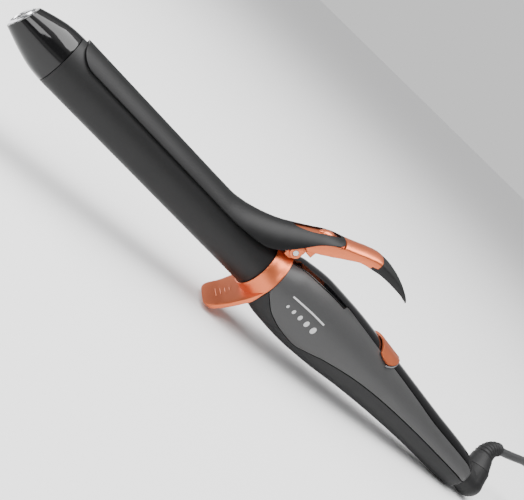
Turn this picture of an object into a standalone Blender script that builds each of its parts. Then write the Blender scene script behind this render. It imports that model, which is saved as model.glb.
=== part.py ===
# A curling iron with a spring clip, standing on the foot behind its stand tab and on its handle end,
# with its cord put away in a tied hank. Lengths are in metres and angles in radians.
#
# The iron is drawn along its barrel: X runs from the cool tip to the cord, Z points to the clip, and
# X = 0 is the barrel's lower end at the copper collar. The empty named iron then tilts and lifts it
# until the stand's foot and the handle's heel touch the ground at Z = 0.
import math

import bmesh
import bpy
from mathutils import Matrix, Vector

GAP = 0.0003

# Barrel and cool tip
BARREL_R = 0.014
BARREL_WALL = 0.001
BARREL_FRONT = -0.1415
BARREL_MIDDLE = -0.078
BARREL_REAR = 0.008
TIP_FACE = Vector((-0.1659, 0.0, 0.0005))
TIP_FACE_TILT = math.radians(16)
TIP_RECESS_R = 0.0054
TIP_RECESS_DEPTH = 0.005

# Collar with its stand tab, and the hinge on top of it
COLLAR_REAR = 0.0093
COLLAR_RIM_R = 0.0179
TAB_THICK = 0.0034
PIVOT = Vector((0.006, 0.0, 0.0198))
PIN_R = 0.0015
EAR_INNER, EAR_OUTER = 0.0038, 0.0066
CHEEK_Y, CHEEK_THICK = 0.0080, 0.0020

# Clip sheet and lever
SHEET_THICK = 0.001
SHEET_R = 0.0155
CLIP_FRONT = -0.1385
CLIP_ARC = math.radians(55)
TONGUE_END = 0.0215
WINDOW_PLACE = (0.0075, 0, 0.0350)
WINDOW_SLOPE = math.radians(30)
WINDOW_HALF_LENGTH, WINDOW_HALF_WIDTH = 0.0134, 0.0042
CAP_PLACE = (0.0125, 0, 0.0371)
CAP_SIZE = (0.0044, 0.0032, 0.0018)
THUMB_START = 0.0425
LEVER_END = 0.0735

# Handle
HANDLE_FRONT = 0.0096
HANDLE_END = 0.194
WALL = 0.0018
SEAM = 0.0005
SECTION_POWER = 2.15
# Each row is a station: X, top Z, bottom Z and half width.
HANDLE_STATIONS = (
    (0.0096, 0.0158, -0.0175, 0.0173),
    (0.020, 0.0196, -0.0194, 0.0186),
    (0.040, 0.0221, -0.0204, 0.0190),
    (0.060, 0.0218, -0.0193, 0.0186),
    (0.090, 0.0199, -0.0158, 0.0166),
    (0.120, 0.0175, -0.0134, 0.0144),
    (0.150, 0.0150, -0.0121, 0.0126),
    (0.185, 0.0124, -0.0115, 0.0115),
    (0.1905, 0.0108, -0.0112, 0.0109),
    (0.194, 0.0090, -0.0093, 0.0092),
)
# Where the gloss strip ends and where the side panel ends, in degrees round from the top.
STRIP_EDGE = (
    (0.0096, 23),
    (0.020, 28),
    (0.036, 33),
    (0.048, 33),
    (0.0505, 23.5),
    (0.065, 28),
    (0.082, 32),
    (0.100, 34),
    (0.125, 39),
    (0.150, 45),
    (0.194, 45),
)
PANEL_EDGE = (
    (0.0096, 93),
    (0.0135, 104),
    (0.0215, 119),
    (0.033, 129),
    (0.044, 132),
    (0.052, 124),
    (0.062, 113),
    (0.086, 102),
    (0.110, 97),
    (0.150, 93),
    (0.194, 90),
)

# Power slider, a saddle over the top of the handle
SLIDER_FRONT, SLIDER_REAR = 0.0838, 0.1010
SLIDER_EDGE = ((0.0838, 38), (0.087, 43), (0.091, 45), (0.095, 39), (0.0985, 26), (0.1010, 9))
SLIDER_LIFT = 0.0004
SLIDER_THICK = 0.0014
RIM_SECTIONS = (0.091, 0.094, 0.0965, 0.0985, 0.1000, SLIDER_REAR)
RIM_GAP, RIM_WIDTH, RIM_LIFT, RIM_THICK = 0.0006, 0.0010, 0.0009, 0.0006
RIM_REACH = 0.017

SLOT_SIZE, SLOT_PLACE = (0.0105, 0.0052, 0.012), (0.0905, 0, 0.0195)
CARRIER_X = 0.0925

# Swivel and strain relief
SWIVEL_X = 0.205
BULB_R = 0.0088
NECK_R = 0.0082
TURRET_R = 0.0086
SPINDLE_R = 0.0056
BOOT_TURN = math.radians(35)
BOOT_STRAIGHT = 0.0175
BOOT_BEND_R = 0.0125
BOOT_BEND = math.radians(72)
BOOT_LENGTH = BOOT_STRAIGHT + BOOT_BEND_R * BOOT_BEND
BOOT_START_R, BOOT_END_R = 0.0084, 0.0043
OUTWARD = Vector((0, math.sin(BOOT_TURN), math.cos(BOOT_TURN)))
FORWARD = Vector((1, 0, 0))

# Cord, folded into a hank that lies in line behind the iron
CORD_R = 0.0027
HANK_RUN = 0.093
HANK_FOLD = 0.0324
HANK_LAYERS = 3
HANK_LIFT = 0.0013
HANK_COLUMN = 0.0057
HANK_X, HANK_Y = 0.3445, 0.0090
TIE_WIDTH = 0.008
PLUG_LENGTH = 0.034
PIN_SPACING = 0.019
PIN_LENGTH = 0.019
PIN_THICK = 0.004

# Standing on the ground: the foot under the tab and the heel under the handle's end
FOOT = Vector((0.0022, 0.0, -0.0349))
HEEL = Vector((0.1890, 0.0, -0.0114))
TILT = math.atan2(HEEL.z - FOOT.z, HEEL.x - FOOT.x)
LIFT = FOOT.x * math.sin(TILT) - FOOT.z * math.cos(TILT)
MIDDLE_X = 0.0224

TURN_STEPS = 40
SIDES = ((-1, "near"), (1, "far"))


def clear_scene():
    for obj in list(bpy.data.objects):
        bpy.data.objects.remove(obj, do_unlink=True)


def collection(name):
    made = bpy.data.collections.new(name)
    bpy.context.scene.collection.children.link(made)
    return made


clear_scene()
PARTS = collection("curling_iron")
CUTTERS = collection("cutters")
CUTTERS.hide_render = True


def empty(name, location, parent=None, rotation=(0, 0, 0)):
    made = bpy.data.objects.new(name, None)
    made.location = location
    made.rotation_euler = rotation
    made.empty_display_size = 0.01
    made.parent = parent
    PARTS.objects.link(made)
    return made


IRON = empty("iron", (-MIDDLE_X, 0, LIFT), rotation=(0, TILT, 0))
CLIP_AXIS = empty("clip_axis", PIVOT, IRON)
SLIDER_AXIS = empty("slider_axis", ((SLIDER_FRONT + SLIDER_REAR) / 2, 0, 0.0195), IRON)
SWIVEL_AXIS = empty("swivel_axis", (SWIVEL_X, 0, 0), IRON)


def material(name, colour, roughness, metallic=0.0):
    made = bpy.data.materials.new(name)
    made.use_nodes = True
    shader = made.node_tree.nodes["Principled BSDF"]
    shader.inputs["Base Color"].default_value = (*colour, 1)
    shader.inputs["Roughness"].default_value = roughness
    shader.inputs["Metallic"].default_value = metallic
    made.diffuse_color = (*colour, 1)
    return made


BLACK_COATING = material("black_coating", (0.045, 0.045, 0.046), 0.5, 0.3)
GLOSS_BLACK = material("gloss_black", (0.006, 0.006, 0.007), 0.08)
COPPER = material("copper_finish", (0.78, 0.33, 0.19), 0.35, 0.7)
PANEL_GREY = material("panel_grey", (0.13, 0.13, 0.13), 0.45)
SHELL_GREY = material("shell_grey", (0.045, 0.045, 0.045), 0.5)
CHROME = material("chrome", (0.8, 0.8, 0.82), 0.08, 1.0)
STEEL = material("steel", (0.55, 0.55, 0.56), 0.3, 1.0)
ALUMINIUM = material("aluminium", (0.7, 0.7, 0.72), 0.35, 1.0)
BRASS = material("brass", (0.72, 0.52, 0.2), 0.3, 1.0)
BOARD_TAN = material("board_tan", (0.5, 0.33, 0.14), 0.6)
CERAMIC = material("ceramic_white", (0.75, 0.73, 0.68), 0.6)
CORD_GREY = material("cord_grey", (0.06, 0.06, 0.06), 0.5)
SILICONE = material("silicone_leads", (0.6, 0.1, 0.08), 0.5)


def finish_object(obj, finish, parent=IRON):
    """Places a mesh that is drawn in the iron's own frame under the empty of its body."""
    obj.data.materials.clear()
    obj.data.materials.append(finish)
    for owner in list(obj.users_collection):
        owner.objects.unlink(obj)
    PARTS.objects.link(obj)
    obj.parent = parent
    if parent not in (None, IRON):
        obj.matrix_basis = Matrix.Translation(-parent.location) @ obj.matrix_basis
    return obj


def grid_object(name, rows, close_rows=False, caps=False):
    """A mesh through rows of points. close_rows joins each row's ends, and caps closes the two ends."""
    mesh = bmesh.new()
    made = [[mesh.verts.new(point) for point in row] for row in rows]
    for near, far in zip(made, made[1:]):
        count = len(near)
        for k in range(count if close_rows else count - 1):
            after = (k + 1) % count
            mesh.faces.new((near[k], far[k], far[after], near[after]))
    if caps:
        mesh.faces.new(made[0])
        mesh.faces.new(reversed(made[-1]))
    data = bpy.data.meshes.new(name)
    mesh.to_mesh(data)
    mesh.free()
    obj = bpy.data.objects.new(name, data)
    bpy.context.scene.collection.objects.link(obj)
    return obj


def thicken(obj, thickness, offset=-1.0):
    solid = obj.modifiers.new("wall", "SOLIDIFY")
    solid.thickness = thickness
    solid.offset = offset
    solid.use_even_offset = True
    return obj


def bevel(obj, width, segments=2):
    rounded = obj.modifiers.new("edges", "BEVEL")
    rounded.width = width
    rounded.segments = segments
    rounded.limit_method = "ANGLE"
    return obj


def turned(name, outline, steps=TURN_STEPS):
    """A turned piece on the barrel's axis. The outline is (X, radius) pairs, X falling on the outer side."""
    data = bpy.data.meshes.new(name)
    points = [(radius, 0, x) for x, radius in outline]
    closed = outline[0][1] > 0
    edges = [(k, k + 1) for k in range(len(points) - 1)]
    if closed:
        edges.append((len(points) - 1, 0))
    data.from_pydata(points, edges, [])
    obj = bpy.data.objects.new(name, data)
    bpy.context.scene.collection.objects.link(obj)
    screw = obj.modifiers.new("turn", "SCREW")
    screw.axis = "Z"
    screw.steps = steps
    screw.render_steps = steps
    screw.use_merge_vertices = True
    screw.merge_threshold = 0.00001
    screw.use_smooth_shade = False
    obj.rotation_euler = (0, math.pi / 2, 0)
    return obj


def block(name, size, centre, rotation=(0, 0, 0)):
    bpy.ops.mesh.primitive_cube_add(size=1, location=centre, rotation=rotation)
    obj = bpy.context.object
    obj.name = name
    obj.data.transform(Matrix.Diagonal((*size, 1)))
    return obj


def rod(name, radius, length, centre, rotation=(0, 0, 0), sides=24):
    bpy.ops.mesh.primitive_cylinder_add(
        vertices=sides, radius=radius, depth=length, location=centre, rotation=rotation
    )
    obj = bpy.context.object
    obj.name = name
    return obj


ALONG_X = (0, math.pi / 2, 0)
ALONG_Y = (math.pi / 2, 0, 0)


def ellipsoid(name, size, centre):
    """A rounded button with its flat side along the lever's slope."""
    bpy.ops.mesh.primitive_uv_sphere_add(segments=20, ring_count=10, radius=1)
    obj = bpy.context.object
    obj.name = name
    obj.data.transform(Matrix.Diagonal((*size, 1)))
    obj.location = centre
    obj.rotation_euler = (0, -WINDOW_SLOPE, 0)
    return obj


def wire(name, points, radius, resolution=2):
    """A round tube along the points, as a curve with filled ends."""
    curve = bpy.data.curves.new(name, "CURVE")
    curve.dimensions = "3D"
    curve.bevel_depth = radius
    curve.bevel_resolution = resolution
    curve.use_fill_caps = True
    spline = curve.splines.new("POLY")
    spline.points.add(len(points) - 1)
    for made, point in zip(spline.points, points):
        made.co = (*point, 1)
    obj = bpy.data.objects.new(name, curve)
    bpy.context.scene.collection.objects.link(obj)
    return obj


def plate(name, outline, half_width, upright=True):
    """An extruded outline as a mesh: (X, Z) pairs centred on Y = 0, or (X, Y) pairs if not upright."""
    curve = bpy.data.curves.new(name, "CURVE")
    curve.dimensions = "2D"
    curve.fill_mode = "BOTH"
    curve.extrude = half_width
    spline = curve.splines.new("POLY")
    spline.points.add(len(outline) - 1)
    for made, (x, z) in zip(spline.points, outline):
        made.co = (x, z, 0, 1)
    spline.use_cyclic_u = True
    obj = bpy.data.objects.new(name + "_outline", curve)
    bpy.context.scene.collection.objects.link(obj)
    if upright:
        obj.rotation_euler = (math.pi / 2, 0, 0)
    return as_mesh(obj, name)


def as_mesh(obj, name):
    """A curve, or an object with modifiers, as a plain welded mesh in the same place."""
    bpy.context.view_layer.update()
    graph = bpy.context.evaluated_depsgraph_get()
    data = bpy.data.meshes.new_from_object(obj.evaluated_get(graph))
    mesh = bmesh.new()
    mesh.from_mesh(data)
    bmesh.ops.remove_doubles(mesh, verts=mesh.verts, dist=0.00001)
    bmesh.ops.recalc_face_normals(mesh, faces=mesh.faces)
    mesh.to_mesh(data)
    mesh.free()
    made = bpy.data.objects.new(name, data)
    made.matrix_world = obj.matrix_world
    bpy.context.scene.collection.objects.link(made)
    bpy.data.objects.remove(obj, do_unlink=True)
    made.name = name
    return made


def boolean(obj, other, operation):
    """Cuts obj by other, or joins them, and keeps other as a cutter. Both are in the same frame."""
    for owner in list(other.users_collection):
        owner.objects.unlink(other)
    CUTTERS.objects.link(other)
    other.display_type = "WIRE"
    other.hide_render = True
    step = obj.modifiers.new(operation.lower(), "BOOLEAN")
    step.operation = operation
    step.object = other
    step.solver = "EXACT"
    return obj


def baked(obj):
    return as_mesh(obj, obj.name)


def smooth(table, x, column=1):
    """Reads a column of a table of rows at x, on a curve that passes its points without overshoot."""
    if x <= table[0][0]:
        return table[0][column]
    if x >= table[-1][0]:
        return table[-1][column]
    k = next(k for k in range(len(table) - 1) if x <= table[k + 1][0])
    slopes = [
        (b[column] - a[column]) / (b[0] - a[0]) for a, b in zip(table, table[1:])
    ]

    def slope_at(n):
        if n == 0:
            return slopes[0]
        if n == len(table) - 1:
            return slopes[-1]
        before, after = slopes[n - 1], slopes[n]
        if before * after <= 0:
            return 0.0
        return 2 * before * after / (before + after)

    width = table[k + 1][0] - table[k][0]
    t = (x - table[k][0]) / width
    low, high = table[k][column], table[k + 1][column]
    return (
        (2 * t**3 - 3 * t**2 + 1) * low
        + (t**3 - 2 * t**2 + t) * width * slope_at(k)
        + (3 * t**2 - 2 * t**3) * high
        + (t**3 - t**2) * width * slope_at(k + 1)
    )


def spread(start, end, count):
    return [start + (end - start) * k / (count - 1) for k in range(count)]


def make_barrel():
    inner = BARREL_R - BARREL_WALL
    outline = (
        (BARREL_REAR, BARREL_R),
        (BARREL_FRONT, BARREL_R),
        (BARREL_FRONT, inner),
        (BARREL_REAR, inner),
    )
    finish_object(turned("barrel_tube", outline), BLACK_COATING)


def tip_frame():
    """The frame of the cool tip's slanting face: its Z leaves the face."""
    turn = Matrix.Rotation(-(math.pi / 2 - TIP_FACE_TILT), 4, "Y")
    return Matrix.Translation(TIP_FACE) @ turn


def on_tip(obj):
    obj.matrix_world = tip_frame() @ Matrix.Translation(obj.location)
    return obj


def make_cool_tip():
    spigot, front = BARREL_R - BARREL_WALL - GAP, BARREL_FRONT - GAP
    outline = (
        (-0.154, 0),
        (-0.154, 0.0088),
        (-0.134, 0.0106),
        (-0.134, spigot),
        (front, spigot),
        (front, BARREL_R),
        (-0.1455, 0.01375),
        (-0.150, 0.0131),
        (-0.155, 0.0118),
        (-0.160, 0.0102),
        (-0.165, 0.0084),
        (-0.172, 0.0058),
        (-0.172, 0),
    )
    tip = baked(turned("cool_tip", outline))
    waste = on_tip(block("tip_waste", (0.03, 0.03, 0.02), (0, 0, 0.01)))
    recess = on_tip(rod("tip_recess", TIP_RECESS_R, 2 * TIP_RECESS_DEPTH, (0, 0, 0)))
    boolean(tip, waste, "DIFFERENCE")
    boolean(tip, recess, "DIFFERENCE")
    screw_hole = rod("tip_screw_hole", 0.0019, 0.012, (-0.157, 0, 0), ALONG_X)
    boolean(tip, screw_hole, "DIFFERENCE")
    finish_object(baked(tip), GLOSS_BLACK)


def make_tip_trim():
    mouth = TIP_RECESS_R - GAP
    profile = (
        (mouth, 0.0008),
        (mouth + 0.0006, 0.0011),
        (mouth + 0.0020, 0.0009),
        (mouth + 0.0022, GAP),
        (mouth, GAP),
    )
    ring = turned("tip_ring", [(height, radius) for radius, height in profile])
    ring.rotation_euler = (0, 0, 0)
    finish_object(on_tip(ring), CHROME)
    insert = on_tip(rod("tip_insert", mouth - 0.0001, 0.0016, (0, 0, -0.0016)))
    finish_object(bevel(insert, 0.0003), SHELL_GREY)
    finish_object(rod("tip_screw", 0.0014, 0.012, (-0.1560, 0, 0), ALONG_X, 12), STEEL)


def heater_shoe(name, side):
    """One half of the heater: an arched shoe against the tube, a stem and a pressure plate."""
    outer = BARREL_R - BARREL_WALL - GAP
    inner = outer - 0.0016
    span, half_length = math.radians(62), 0.03
    stem, plate_half, plate_low, plate_high = 0.0015, 0.0078, 0.0016, 0.0034
    arc = [(outer * math.sin(a), outer * math.cos(a)) for a in spread(-span, span, 13)]
    right = [
        (inner * math.sin(a), inner * math.cos(a)) for a in spread(span, 0.13, 6)
    ]
    stem_out = [(stem, plate_high), (plate_half, plate_high), (plate_half, plate_low)]
    half = right + stem_out
    outline = arc + half + [(-y, z) for y, z in reversed(half)]
    made = plate(name, [(y, side * z) for y, z in outline], half_length)
    made.data.transform(made.matrix_world)
    made.matrix_world = Matrix.Translation((BARREL_MIDDLE, 0, 0)) @ Matrix.Rotation(
        math.pi / 2, 4, "Z"
    )
    return finish_object(made, ALUMINIUM)


def make_heater():
    heater_shoe("heater_shoe_upper", 1)
    heater_shoe("heater_shoe_lower", -1)
    strip = block("ptc_strip", (0.056, 0.014, 0.0026), (BARREL_MIDDLE, 0, 0))
    finish_object(bevel(strip, 0.0003, 1), CERAMIC)
    for side, where in SIDES:
        lead = wire(
            "heater_lead_" + where,
            [
                (-0.046, side * 0.0045, 0),
                (-0.030, side * 0.0065, 0),
                (-0.010, side * 0.006, 0),
                (0.010, side * 0.0045, 0),
                (0.026, side * 0.005, -0.001),
                (0.0375, side * 0.006, -0.002),
            ],
            0.0009,
        )
        finish_object(lead, SILICONE)
    fuse = rod("thermal_fuse", 0.002, 0.011, (-0.024, 0, 0), ALONG_X, 16)
    finish_object(bevel(fuse, 0.0004), STEEL)
    bush = (
        (0.0225, 0.0142),
        (BARREL_REAR + GAP, 0.0142),
        (BARREL_REAR + GAP, BARREL_R - BARREL_WALL - GAP),
        (-0.004, BARREL_R - BARREL_WALL - GAP),
        (-0.004, 0.0085),
        (0.0225, 0.0085),
    )
    finish_object(turned("barrel_bush", bush), CERAMIC)


# Each row is a height on the tab: Z, X of its front face and half width.
TAB_STATIONS = (
    (-0.0335, -0.0048, 0.0092),
    (-0.0322, -0.0041, 0.0118),
    (-0.0300, -0.0028, 0.0129),
    (-0.0250, 0.0004, 0.0138),
    (-0.0180, 0.0036, 0.0152),
    (-0.0120, 0.0056, 0.0166),
    (-0.0040, 0.0056, 0.0174),
)


def knuckle_outline(radius, root_half, root_z):
    """A hinge ear round the pivot, as (X, Z) pairs. It runs to root_z, above or below the pivot."""
    side = 1 if root_z < PIVOT.z else -1
    angles = spread(-0.05, math.pi + 0.05, 12)
    over = [
        (PIVOT.x + radius * math.cos(a), PIVOT.z + side * radius * math.sin(a)) for a in angles
    ]
    return over + [(PIVOT.x - root_half, root_z), (PIVOT.x + root_half, root_z)]


def make_collar():
    outline = (
        (COLLAR_REAR, 0),
        (COLLAR_REAR, COLLAR_RIM_R),
        (0.0078, 0.0172),
        (0.0055, 0.0161),
        (0.0028, 0.01535),
        (0.0004, 0.0151),
        (0.0, 0.0147),
        (0.0, 0),
    )
    collar = baked(turned("collar_stand", outline))
    rows = []
    edge = 0.0007
    for z, x, half in TAB_STATIONS:
        rear = x + TAB_THICK
        rows.append(
            [
                (rear, -half + edge, z),
                (rear - edge, -half, z),
                (x + edge, -half, z),
                (x, -half + edge, z),
                (x, half - edge, z),
                (x + edge, half, z),
                (rear - edge, half, z),
                (rear, half - edge, z),
            ]
        )
    tab = grid_object("tab_form", rows, close_rows=True, caps=True)
    boolean(collar, baked(tab), "UNION")
    for side in (-1, 1):
        outline = knuckle_outline(0.0030, 0.0030, 0.0145)
        ear = plate(f"ear_{side}", outline, (EAR_OUTER - EAR_INNER) / 2)
        ear.location.y = side * (EAR_INNER + EAR_OUTER) / 2
        boolean(collar, ear, "UNION")
    bore = rod("collar_bore", BARREL_R + GAP, 0.04, (0.0, 0, 0), ALONG_X, TURN_STEPS)
    boolean(collar, bore, "DIFFERENCE")
    pin_hole = rod("ear_pin_hole", PIN_R + 0.0002, 0.03, PIVOT, ALONG_Y)
    boolean(collar, pin_hole, "DIFFERENCE")
    finish_object(baked(collar), COPPER)
    finish_object(rod("hinge_pin", PIN_R, 2 * CHEEK_Y + CHEEK_THICK, PIVOT, ALONG_Y, 20), STEEL)


def make_clip_spring():
    turns, per_turn, radius, wire_r = 5, 12, 0.0022, 0.00045
    pitch = 0.0013
    points = []
    for k in range(turns * per_turn + 1):
        angle = 2 * math.pi * k / per_turn
        y = (k / per_turn - turns / 2) * pitch
        points.append(
            (PIVOT.x + radius * math.sin(angle), y, PIVOT.z + radius * math.cos(angle))
        )
    first, last = Vector(points[0]), Vector(points[-1])
    leg_up = [first + Vector((-0.005, 0, 0.0)), first + Vector((-0.0025, 0, 0.0))]
    leg_down = [last + Vector((0.0025, 0, 0.0)), last + Vector((0.0052, 0, -0.0012))]
    made = wire("clip_spring", leg_up + points + leg_down, wire_r)
    finish_object(made, STEEL)


# Each row is a station of the sheet's outer face: X, top Z, half width, drop to the side edge and
# half arc in degrees. Up to the first row it is a plain arc round the barrel.
CLIP_STATIONS = (
    (-0.038, 0.0156, 0.0129, 0.0067, 56),
    (-0.0300, 0.0168, 0.0132, 0.0077, 58),
    (-0.0220, 0.0191, 0.0134, 0.0092, 62),
    (-0.0140, 0.0223, 0.0134, 0.0114, 68),
    (-0.0080, 0.0254, 0.0131, 0.0130, 74),
    (-0.0030, 0.0286, 0.0126, 0.0132, 76),
    (0.0010, 0.0312, 0.0120, 0.0118, 76),
    (0.0060, 0.0345, 0.0110, 0.0088, 74),
    (0.0110, 0.0378, 0.0100, 0.0055, 70),
    (0.0160, 0.0403, 0.0092, 0.0034, 66),
    (0.0200, 0.0418, 0.0080, 0.0022, 62),
    (TONGUE_END, 0.0424, 0.0062, 0.0014, 58),
)


def arch(x, top, half, drop, arc, across):
    """A point on an arched section, across from -1 to 1."""
    angle = across * arc
    y = half * math.sin(angle) / math.sin(arc)
    z = top - drop * (1 - math.cos(angle)) / (1 - math.cos(arc))
    return Vector((x, y, z))


def make_clip_plate():
    columns = spread(-1, 1, 15)
    rows = []
    corner = 0.010
    for x in [CLIP_FRONT + d for d in (0, 0.0008, 0.0025, 0.005, 0.010, 0.02, 0.05, 0.08)]:
        into = min(x - CLIP_FRONT, corner)
        inset = corner - math.sqrt(corner**2 - (corner - into) ** 2)
        arc = CLIP_ARC - 0.93 * inset / SHEET_R
        half, drop = SHEET_R * math.sin(arc), SHEET_R * (1 - math.cos(arc))
        rows.append([arch(x, SHEET_R, half, drop, arc, c) for c in columns])
    for station in CLIP_STATIONS:
        x, top, half, drop, arc = station
        rows.append([arch(x, top, half, drop, math.radians(arc), c) for c in columns])
    sheet = baked(thicken(grid_object("clip_plate", rows), SHEET_THICK))
    window = rod("window_cut", 1, 0.02, WINDOW_PLACE, (0, -WINDOW_SLOPE, 0), 28)
    window.data.transform(Matrix.Diagonal((WINDOW_HALF_LENGTH, WINDOW_HALF_WIDTH, 1, 1)))
    boolean(sheet, window, "DIFFERENCE")
    finish_object(baked(sheet), BLACK_COATING, CLIP_AXIS)


# Each row is a station of the lever under the sheet: X, bottom Z at the sides and half width.
COVERED_STATIONS = (
    (-0.0055, 0.0222, 0.0046),
    (-0.0020, 0.0232, 0.0060),
    (0.0010, 0.0236, 0.0068),
    (0.0045, 0.0236, 0.0076),
    (0.0080, 0.0239, 0.0080),
    (0.0120, 0.0258, 0.0080),
    (0.0160, 0.0282, 0.0076),
    (0.0200, 0.0309, 0.0068),
    (TONGUE_END + 0.0007, 0.0321, 0.0055),
)
# Each row is a station of the bare lever and its thumb rest: X, top Z, bottom Z and half width.
LEVER_STATIONS = (
    (TONGUE_END + 0.0008, 0.0427, 0.0323, 0.0078),
    (0.0290, 0.0457, 0.0372, 0.0078),
    (0.0350, 0.0485, 0.0410, 0.0079),
    (THUMB_START, 0.0510, 0.0430, 0.0080),
)
THUMB_STATIONS = (
    (THUMB_START + GAP, 0.0510, 0.0430, 0.0080),
    (0.0490, 0.0514, 0.0444, 0.0081),
    (0.0560, 0.0508, 0.0449, 0.0080),
    (0.0620, 0.0495, 0.0450, 0.0075),
    (0.0680, 0.0474, 0.0447, 0.0065),
    (0.0720, 0.0452, 0.0439, 0.0046),
    (LEVER_END, 0.0441, 0.0434, 0.0022),
)


def under_sheet(x, y):
    """The height just under the clip sheet at a place on the lever."""
    top, half, drop, arc = (smooth(CLIP_STATIONS, x, column) for column in (1, 2, 3, 4))
    arc = math.radians(arc)
    angle = math.asin(max(-1, min(1, y * math.sin(arc) / half)))
    fall = drop / (1 - math.cos(arc))
    slope = fall * math.tan(angle) * math.sin(arc) / half
    gap = (SHEET_THICK + GAP + 0.0001) * math.sqrt(1 + slope**2)
    return top - fall * (1 - math.cos(angle)) - gap


def bar_section(x, half, bottom, height_at, height):
    """A bar's section: a top that height_at gives across it, upright sides and a hollowed underside."""
    over = [(half * math.sin(a), a) for a in spread(-math.pi / 2, math.pi / 2, 11)]
    over = [(y, height_at(y, a)) for y, a in over]
    hollow = min(0.3 * height, 0.0014)
    across = (0.94, 0.80, 0.5, 0, -0.5, -0.80, -0.94)
    rise = (0.05 * height, 0, 0.7 * hollow, hollow, 0.7 * hollow, 0, 0.05 * height)
    under = [(half * share, bottom + up) for share, up in zip(across, rise)]
    return [Vector((x, y, z)) for y, z in over + under]


def covered_section(x, bottom, half):
    return bar_section(x, half, bottom, lambda y, a: under_sheet(x, y), 0.004)


def bare_section(x, top, bottom, half):
    crown = min(0.45 * (top - bottom), 0.0032)
    return bar_section(
        x, half, bottom, lambda y, a: top - crown * (1 - math.cos(a)), top - bottom
    )


def make_lever():
    rows = [covered_section(*station) for station in COVERED_STATIONS]
    rows += [bare_section(*station) for station in LEVER_STATIONS]
    lever = grid_object("lever_body", rows, close_rows=True, caps=True)
    lever = baked(lever)
    for side in (-1, 1):
        middle = side * CHEEK_Y
        outline = knuckle_outline(0.0032, 0.0030, 0.0248)
        cheek = plate(f"cheek_{side}", outline, CHEEK_THICK / 2)
        cheek.location.y = middle
        boolean(lever, cheek, "UNION")
    lug = block("spring_lug", (0.0042, 0.007, 0.0080), (0.0139, 0, 0.0266))
    boolean(lever, lug, "UNION")
    hole = rod("cheek_pin_hole", PIN_R + 0.0002, 0.03, PIVOT, ALONG_Y)
    boolean(lever, hole, "DIFFERENCE")
    seat = ellipsoid("cap_seat", [size + GAP for size in CAP_SIZE], CAP_PLACE)
    boolean(lever, seat, "DIFFERENCE")
    finish_object(baked(lever), COPPER, CLIP_AXIS)
    finish_object(ellipsoid("lever_cap", CAP_SIZE, CAP_PLACE), COPPER, CLIP_AXIS)

    rest_rows = [bare_section(*station) for station in THUMB_STATIONS]
    rest = grid_object("thumb_rest", rest_rows, close_rows=True, caps=True)
    finish_object(baked(rest), SHELL_GREY, CLIP_AXIS)


def handle_point(x, angle, out=0.0):
    """A point on the handle's outer face, or out from it, at an angle round from the top towards +Y."""
    top = smooth(HANDLE_STATIONS, x, 1) + out
    bottom = smooth(HANDLE_STATIONS, x, 2) - out
    half = smooth(HANDLE_STATIONS, x, 3) + out
    middle, height = (top + bottom) / 2, (top - bottom) / 2
    s, c = math.sin(angle), math.cos(angle)
    y = half * math.copysign(abs(s) ** (2 / SECTION_POWER), s)
    z = middle + height * math.copysign(abs(c) ** (2 / SECTION_POWER), c)
    return Vector((x, y, z))


# Where the handle's wall has its cross sections.
WALL_SECTIONS = (0.0096, 0.0135, 0.018, 0.0235, 0.030, 0.037, 0.044, 0.048, 0.0505, 0.055, 0.062)
WALL_SECTIONS += (0.070, 0.080, 0.090, 0.100, 0.112, 0.125, 0.140, 0.155, 0.170, 0.180, 0.185)
WALL_SECTIONS += (0.188, 0.1905, 0.1925, 0.194)


def gap_angle(x):
    return 0.5 * SEAM / smooth(HANDLE_STATIONS, x, 3)


def strip_angle(x):
    return math.radians(smooth(STRIP_EDGE, x))


def panel_angle(x):
    return math.radians(smooth(PANEL_EDGE, x))


def wall_object(name, start_angle, end_angle, columns):
    """A piece of the handle's wall between two edges, each an angle that varies along the handle."""
    rows = []
    for x in WALL_SECTIONS:
        low, high = start_angle(x) + gap_angle(x), end_angle(x) - gap_angle(x)
        rows.append([handle_point(x, a) for a in spread(low, high, columns)])
    return thicken(grid_object(name, rows), WALL)


def make_panels():
    top = wall_object("top_panel", lambda x: -strip_angle(x), strip_angle, 9)
    top = baked(top)
    slot = block("slider_slot", SLOT_SIZE, SLOT_PLACE)
    boolean(top, slot, "DIFFERENCE")
    finish_object(baked(top), GLOSS_BLACK)
    right = wall_object("side_panel_far", strip_angle, panel_angle, 9)
    finish_object(right, PANEL_GREY)
    left = wall_object(
        "side_panel_near", lambda x: -panel_angle(x), lambda x: -strip_angle(x), 9
    )
    finish_object(left, PANEL_GREY)


SCREW_PLACES = (0.034, 0.128, 0.172)


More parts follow.
